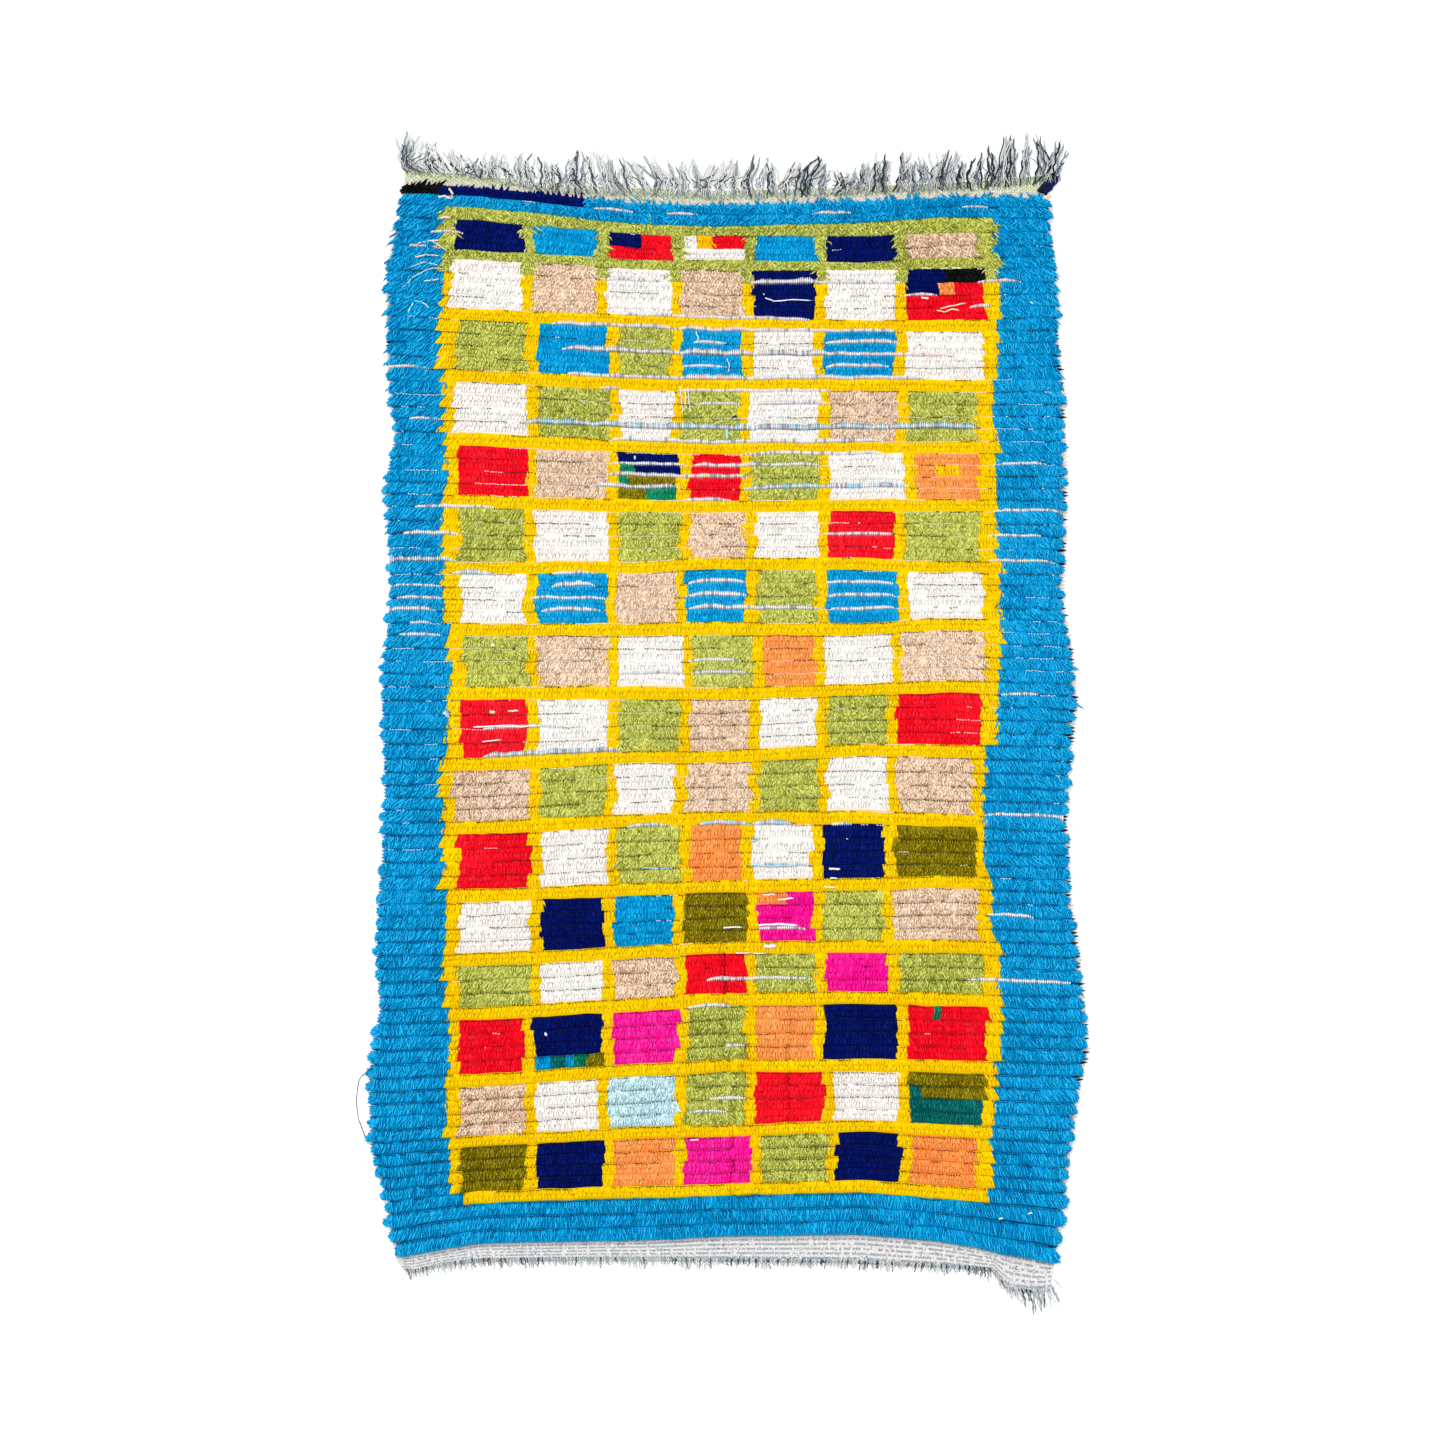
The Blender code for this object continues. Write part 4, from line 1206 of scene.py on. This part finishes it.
def loose_threads():
    """Beads of overcasting along both selvedges, and every stray thread."""
    rng = np.random.default_rng(11)
    threads = Tufts()
    for side, outward, odds in SELVEDGES:
        y = np.arange(-1.0, 1.0, SELVEDGE_STEP)
        edge = edge_x(y, side) - outward * (SIDE_INSET - 0.004)
        bare = side * np.interp(y, (-0.80, -0.70, 0.66, 0.76), (0.0, 1.0, 1.0, 0.0))
        proud = SELVEDGE_PROUD * bare * rng.uniform(0.3, 1.1, len(y))
        path = np.empty((len(y), len(BEAD), 3))
        for k, (away, z) in enumerate(BEAD):
            reach = away + proud * k / 2
            path[:, k] = np.stack([edge + outward * reach, y + 0.0006 * k, np.full(len(y), z)], 1)
        names = rng.choice(BEAD_TINTS, len(y), p=odds)
        if side == 0:
            names = np.where(y < 0.6, np.where(y < -0.85, "white", "blue"), names)
        size = np.full((len(y), 2), BEAD_WIDTH)
        threads.yarns(path, size, 0.5 * size, np.array([TINTS[name] for name in names]))
    for tint, thickness, route in STRAYS:
        knots = np.arange(len(route))
        steps = np.linspace(0, len(route) - 1, 3 * len(route))
        x, y = (np.interp(steps, knots, [point[k] for point in route]) for k in (0, 1))
        x = x + rng.uniform(-STRAY_WANDER, STRAY_WANDER, len(x))
        y = y + rng.uniform(-STRAY_WANDER, STRAY_WANDER, len(y))
        on_pile = (x > edge_x(y, 0)) & (x < edge_x(y, 1))
        on_pile = on_pile & (y < row_y(0.3, x)) & (y > row_y(ROWS, x))
        top = np.interp(y, (-0.1, 0.7), (PILE_TOP_FOOT, PILE_TOP_HEAD))
        z = np.where(on_pile, top + STRAY_ON_PILE, STRAY_ON_WEB)
        size = thickness * rng.uniform(0.75, 1.1, (1, len(x) - 1))
        flat = np.minimum(0.6 * size, 0.0030)
        threads.yarns(np.stack([x, y, z], 1)[None], size, flat, np.array([TINTS[tint]]), sides=4)
    return threads.build("loose_threads")


dress(loose_threads(), weft_cotton)


# Head fringe. The cotton warps left when the rug was cut off the loom, twisted, crinkled from the
# weave and lying in clumps, undyed for the most part and denim blue towards the right.
HEAD_TIPS = (
    # root_x, tip_y, lean
    (-0.616, 1.122, -0.024),
    (-0.560, 1.118, -0.022),
    (-0.500, 1.100, -0.010),
    (-0.486, 1.070, -0.004),
    (-0.470, 1.072, 0.004),
    (-0.455, 1.096, 0.000),
    (-0.400, 1.096, -0.006),
    (-0.330, 1.080, 0.002),
    (-0.300, 1.082, -0.014),
    (-0.200, 1.086, -0.024),
    (-0.120, 1.074, -0.020),
    (-0.080, 1.076, 0.000),
    (0.060, 1.084, 0.004),
    (0.110, 1.062, 0.002),
    (0.155, 1.092, 0.006),
    (0.185, 1.054, 0.004),
    (0.235, 1.050, 0.004),
    (0.260, 1.076, 0.006),
    (0.330, 1.088, 0.012),
    (0.355, 1.078, 0.004),
    (0.420, 1.092, 0.002),
    (0.460, 1.070, 0.004),
    (0.500, 1.112, 0.010),
    (0.560, 1.130, 0.008),
    (0.590, 1.122, 0.004),
    (0.640, 1.104, 0.006),
)
FRINGE_LAYERS = (
    # step along the web, root from the web's edge, lowest rest, highest rest, width, length, shade
    # The first layer, thin, half as long and dark, is painted shadow among the warps.
    (0.0110, 0.002, 0.0070, 0.0080, 0.5, 0.50, 0.90),
    (0.0050, -0.014, 0.0030, 0.0060, 0.9, 1.00, 0.00),
    (0.0120, -0.012, 0.0066, 0.0090, 0.9, 1.00, 0.00),
)
FRINGE_YARN, FRINGE_POINTS = 0.0046, 12
BUNCH_STEP, BUNCHES = 0.024, 52
HEAD_CRINKLE, FOOT_CRINKLE = 0.0024, 0.0014
# One bunch is denim all over: its place along the web, half its width and its shade.
DENIM_X, DENIM_HALF, DENIM_SHADE = 0.155, 0.014, 0.65


def strand_paths(rng, roots, tips, crinkle, rest_z):
    """Crinkled warps from roots to tips, each resting at its own height."""
    share = np.linspace(0.0, 1.0, FRINGE_POINTS)[None]
    paths = roots[:, None] + (tips - roots)[:, None] * share[:, :, None]
    phase = rng.uniform(0.0, 2 * np.pi, (len(roots), 1))
    turns = rng.uniform(1.8, 3.6, (len(roots), 1))
    curl = rng.normal(0.0, 2.0, (len(roots), 1)) * share ** 3
    wave = np.sin(2 * np.pi * turns * share + phase)
    wave = wave * np.interp(share, (0.0, 0.2, 1.0), (0.3, 1.0, 0.5))
    paths[:, :, 0] += crinkle * (wave + curl)
    paths[:, :, 2] = rest_z[:, None] + 0.0012 * (1.0 + np.sin(2.6 * np.pi * turns * share + phase))
    return paths


def rest_on_web(paths, over_web, clearance):
    """Lifts the points that lie over the web clear of its cloth."""
    lifted = np.maximum(paths[:, :, 2], CLOTH_THICK + clearance)
    paths[:, :, 2] = np.where(over_web, lifted, paths[:, :, 2])


def head_fringe():
    """Bunches of warps that spread over the web, draw together and end in curled tips.

    Short dark strands lie among them as painted shadow between the warps, and some warps lie over
    the others.
    """
    rng = np.random.default_rng(21)
    strands = Tufts()
    share = np.linspace(0.0, 1.0, FRINGE_POINTS)[None]
    drawn = np.interp(share, (0.0, 0.3, 0.65, 1.0), (0.0, 0.12, 0.40, 0.20))
    knots = [line[0] for line in HEAD_TIPS]
    bunches = np.arange(-0.606, 0.636, BUNCH_STEP) + rng.uniform(-0.006, 0.006, BUNCHES)
    own_lean = rng.normal(0.0, 0.006, len(bunches))
    own_sway = rng.normal(0.0, 0.005, len(bunches))
    own_reach = rng.uniform(0.82, 1.08, len(bunches))
    for step, start, low, high, thin, far, shade in FRINGE_LAYERS:
        x = np.arange(-0.612, 0.638, step)
        x = x + rng.uniform(-0.0014, 0.0014, len(x))
        web = np.interp(x, HEAD_WEB_X, HEAD_WEB_Y)
        tip_y = np.interp(x, knots, [line[1] for line in HEAD_TIPS])
        lean = np.interp(x, knots, [line[2] for line in HEAD_TIPS])
        bunch = np.abs(x[:, None] - bunches[None]).argmin(axis=1)
        off = (x - bunches[bunch])[:, None]
        length = (tip_y - web + 0.004) * own_reach[bunch] * far * rng.uniform(0.62, 1.04, len(x))
        onto_web = start * np.interp(x, (-0.47, -0.38), (0.2, 1.0))
        root_y = web + onto_web + rng.uniform(-0.004, 0.003, len(x))
        roots = np.stack([x, root_y, np.zeros(len(x))], 1)
        tips = roots.copy()
        tips[:, 0] += lean * far + own_lean[bunch]
        tips[:, 1] = web + length
        rest_z = rng.uniform(low, high, len(x))
        paths = strand_paths(rng, roots, tips, HEAD_CRINKLE, rest_z)
        astray = rng.normal(0.0, 0.012, len(x)) * (rng.uniform(0.0, 1.0, len(x)) < 0.22)
        paths[:, :, 0] += astray[:, None] * np.sin(np.pi * share) - off * drawn
        paths[:, :, 0] += own_sway[bunch][:, None] * np.sin(4.5 * share)
        rest_on_web(paths, paths[:, :, 1] < web[:, None] + 0.002, 0.0012)
        widths = FRINGE_YARN * thin * rng.uniform(0.70, 1.10, (len(x), 1))
        widths = widths * np.interp(share[:, :-1], (0.0, 0.3, 1.0), (0.65, 1.0, 0.9))
        denim = np.clip((x - 0.05) / 0.40, 0.0, 1.0) * 0.28 + shade
        denim = np.where(np.abs(x - DENIM_X) < DENIM_HALF, DENIM_SHADE, denim)
        # Grey and dark strands at random: partly the warps' own grey, partly painted shade between
        # the strands.
        denim = denim + rng.choice([0.0, 0.26, 0.50, 0.84], len(x), p=(0.46, 0.28, 0.14, 0.12))
        strands.yarns(paths, widths, widths * 0.85, denim, painted_ridge=0.0 if shade > 0.5 else -0.34)
    return strands.build("warp_fringe_head")


def warp_material():
    """Two-ply cotton warp, spiralled: undyed grey-white, denim blue, or dark as painted shade, by
    its shade value; the grooves between the plies carry painted shade too.
    """
    n = Nodes("warp_cotton")
    uv = n.add("ShaderNodeUVMap", uv_map="yarn").outputs["UV"]
    parts = n.add("ShaderNodeSeparateXYZ", {"Vector": uv})
    round_it = n.math("MULTIPLY", parts.outputs["X"], 520.0)
    turn = n.math("ADD", round_it, n.math("MULTIPLY", parts.outputs["Y"], 900.0))
    ply = n.math("MULTIPLY_ADD", n.math("SINE", turn), 0.5, 0.5)
    fuzz = n.noise(n.scaled(uv, (900.0, 160.0, 1.0)), 1.0, 3.0, 0.6)
    fuzz = n.math("MULTIPLY", n.math("SUBTRACT", fuzz, 0.5), 0.9)
    tone = n.math("ADD", n.attribute("shade"), fuzz)
    colour = n.ramp(tone, (
        (0.00, linear(255, 255, 253)),
        (0.14, linear(232, 235, 230)),
        (0.40, linear(166, 178, 180)),
        (0.62, linear(98, 122, 146)),
        (0.90, linear(30, 38, 46)),
    ))
    # Painted shade in the spiral grooves between the two plies.
    groove_shade = n.math("MULTIPLY", n.math("SUBTRACT", 1.0, ply), 0.18)
    n.bump(ply, 0.5, 0.0006)
    return n.finish(n.mix(groove_shade, colour, linear(96, 104, 108)), 0.95, 0.05)


warp_cotton = warp_material()
head = dress(head_fringe(), warp_cotton)
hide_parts("head_fringe")


# Foot fringe. The same warps at the foot, cut short and frayed against the web, with a longer
# bunch at the right-hand corner where the web runs on.
FOOT_TIPS = (
    # root_x, length, lean
    (-0.620, 0.014, 0.004),
    (-0.560, 0.009, 0.000),
    (-0.467, 0.011, 0.002),
    (-0.200, 0.011, 0.002),
    (0.100, 0.007, -0.002),
    (0.480, 0.010, 0.000),
    (0.535, 0.018, 0.008),
    (0.570, 0.030, 0.014),
    (0.600, 0.026, 0.010),
    (0.632, 0.034, 0.016),
)


def foot_fringe():
    """Short frayed warps all along the web, and the longer bunch."""
    rng = np.random.default_rng(22)
    x = np.arange(-0.606, 0.626, 0.0036)
    x = x + rng.uniform(-0.0010, 0.0010, len(x))
    web = np.interp(x, FOOT_WEB_X, FOOT_WEB_Y)
    knots = [line[0] for line in FOOT_TIPS]
    length = np.interp(x, knots, [line[1] for line in FOOT_TIPS]) + 0.005
    lean = np.interp(x, knots, [line[2] for line in FOOT_TIPS])
    length = length * rng.uniform(0.35, 1.05, len(x)) * (1.0 + 0.35 * waves(rng, x, 0.02))
    tip_x = x + lean + rng.uniform(-0.003, 0.003, len(x))
    tips = np.stack([tip_x, web - length, np.zeros(len(x))], 1)
    roots = np.stack([x, web + 0.007, np.zeros(len(x))], 1)
    rest_z = rng.uniform(0.0016, 0.0040, len(x))
    paths = strand_paths(rng, roots, tips, FOOT_CRINKLE, rest_z)
    rest_on_web(paths, paths[:, :, 1] > web[:, None], 0.0008)
    widths = FRINGE_YARN * rng.uniform(0.5, 0.8, (len(x), 1))
    widths = widths * np.linspace(1.0, 0.6, FRINGE_POINTS - 1)
    # Grey and dark strands at random: partly the warps' own grey, partly painted shade between the
    # strands.
    denim = 0.05 + 0.20 * (x > 0.45) + rng.choice([0.0, 0.30, 0.85], len(x), p=(0.45, 0.35, 0.20))
    strands = Tufts()
    strands.yarns(paths, widths, widths * 0.9, denim, painted_ridge=-0.40)
    return strands.build("warp_fringe_foot")


foot = dress(foot_fringe(), warp_cotton)
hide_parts("foot_fringe")


# Floor and lights. A plain white floor, one large soft lamp from the upper left and an even white
# surround, as in a studio picture.
FLOOR_SIZE = 14.0
FLOOR_WHITE, FLOOR_GLOW = 0.92, 0.25
SURROUND_STRENGTH = 0.83
LAMP_STRENGTH, LAMP_SPREAD = 1.66, 25.0
LAMP_TILT_X, LAMP_TILT_Y = -32.0, -22.0

floor_mesh = bpy.data.meshes.new("floor")
floor_bm = bmesh.new()
bmesh.ops.create_grid(floor_bm, x_segments=1, y_segments=1, size=FLOOR_SIZE / 2)
floor_bm.to_mesh(floor_mesh)
floor_bm.free()
floor = bpy.data.objects.new("floor", floor_mesh)
bpy.context.scene.collection.objects.link(floor)
floor_nodes = Nodes("floor_paper")
floor_nodes.shader.inputs["Emission Color"].default_value = (1.0, 1.0, 1.0, 1.0)
floor_nodes.shader.inputs["Emission Strength"].default_value = FLOOR_GLOW
floor_white = (FLOOR_WHITE, FLOOR_WHITE, FLOOR_WHITE, 1.0)
floor_mesh.materials.append(floor_nodes.finish(floor_white, 1.0, 0.0))

world = bpy.data.worlds.new("studio")
bpy.context.scene.world = world
world.use_nodes = True
surround = world.node_tree.nodes["Background"]
surround.inputs["Color"].default_value = (1.0, 1.0, 1.0, 1.0)
surround.inputs["Strength"].default_value = SURROUND_STRENGTH

lamp_data = bpy.data.lights.new("softbox", "SUN")
lamp_data.energy = LAMP_STRENGTH
lamp_data.angle = math.radians(LAMP_SPREAD)
lamp = bpy.data.objects.new("softbox", lamp_data)
lamp.rotation_euler = (math.radians(LAMP_TILT_X), math.radians(LAMP_TILT_Y), 0.0)
bpy.context.scene.collection.objects.link(lamp)

bpy.context.scene.view_settings.view_transform = "Standard"
bpy.context.scene.view_settings.look = "None"
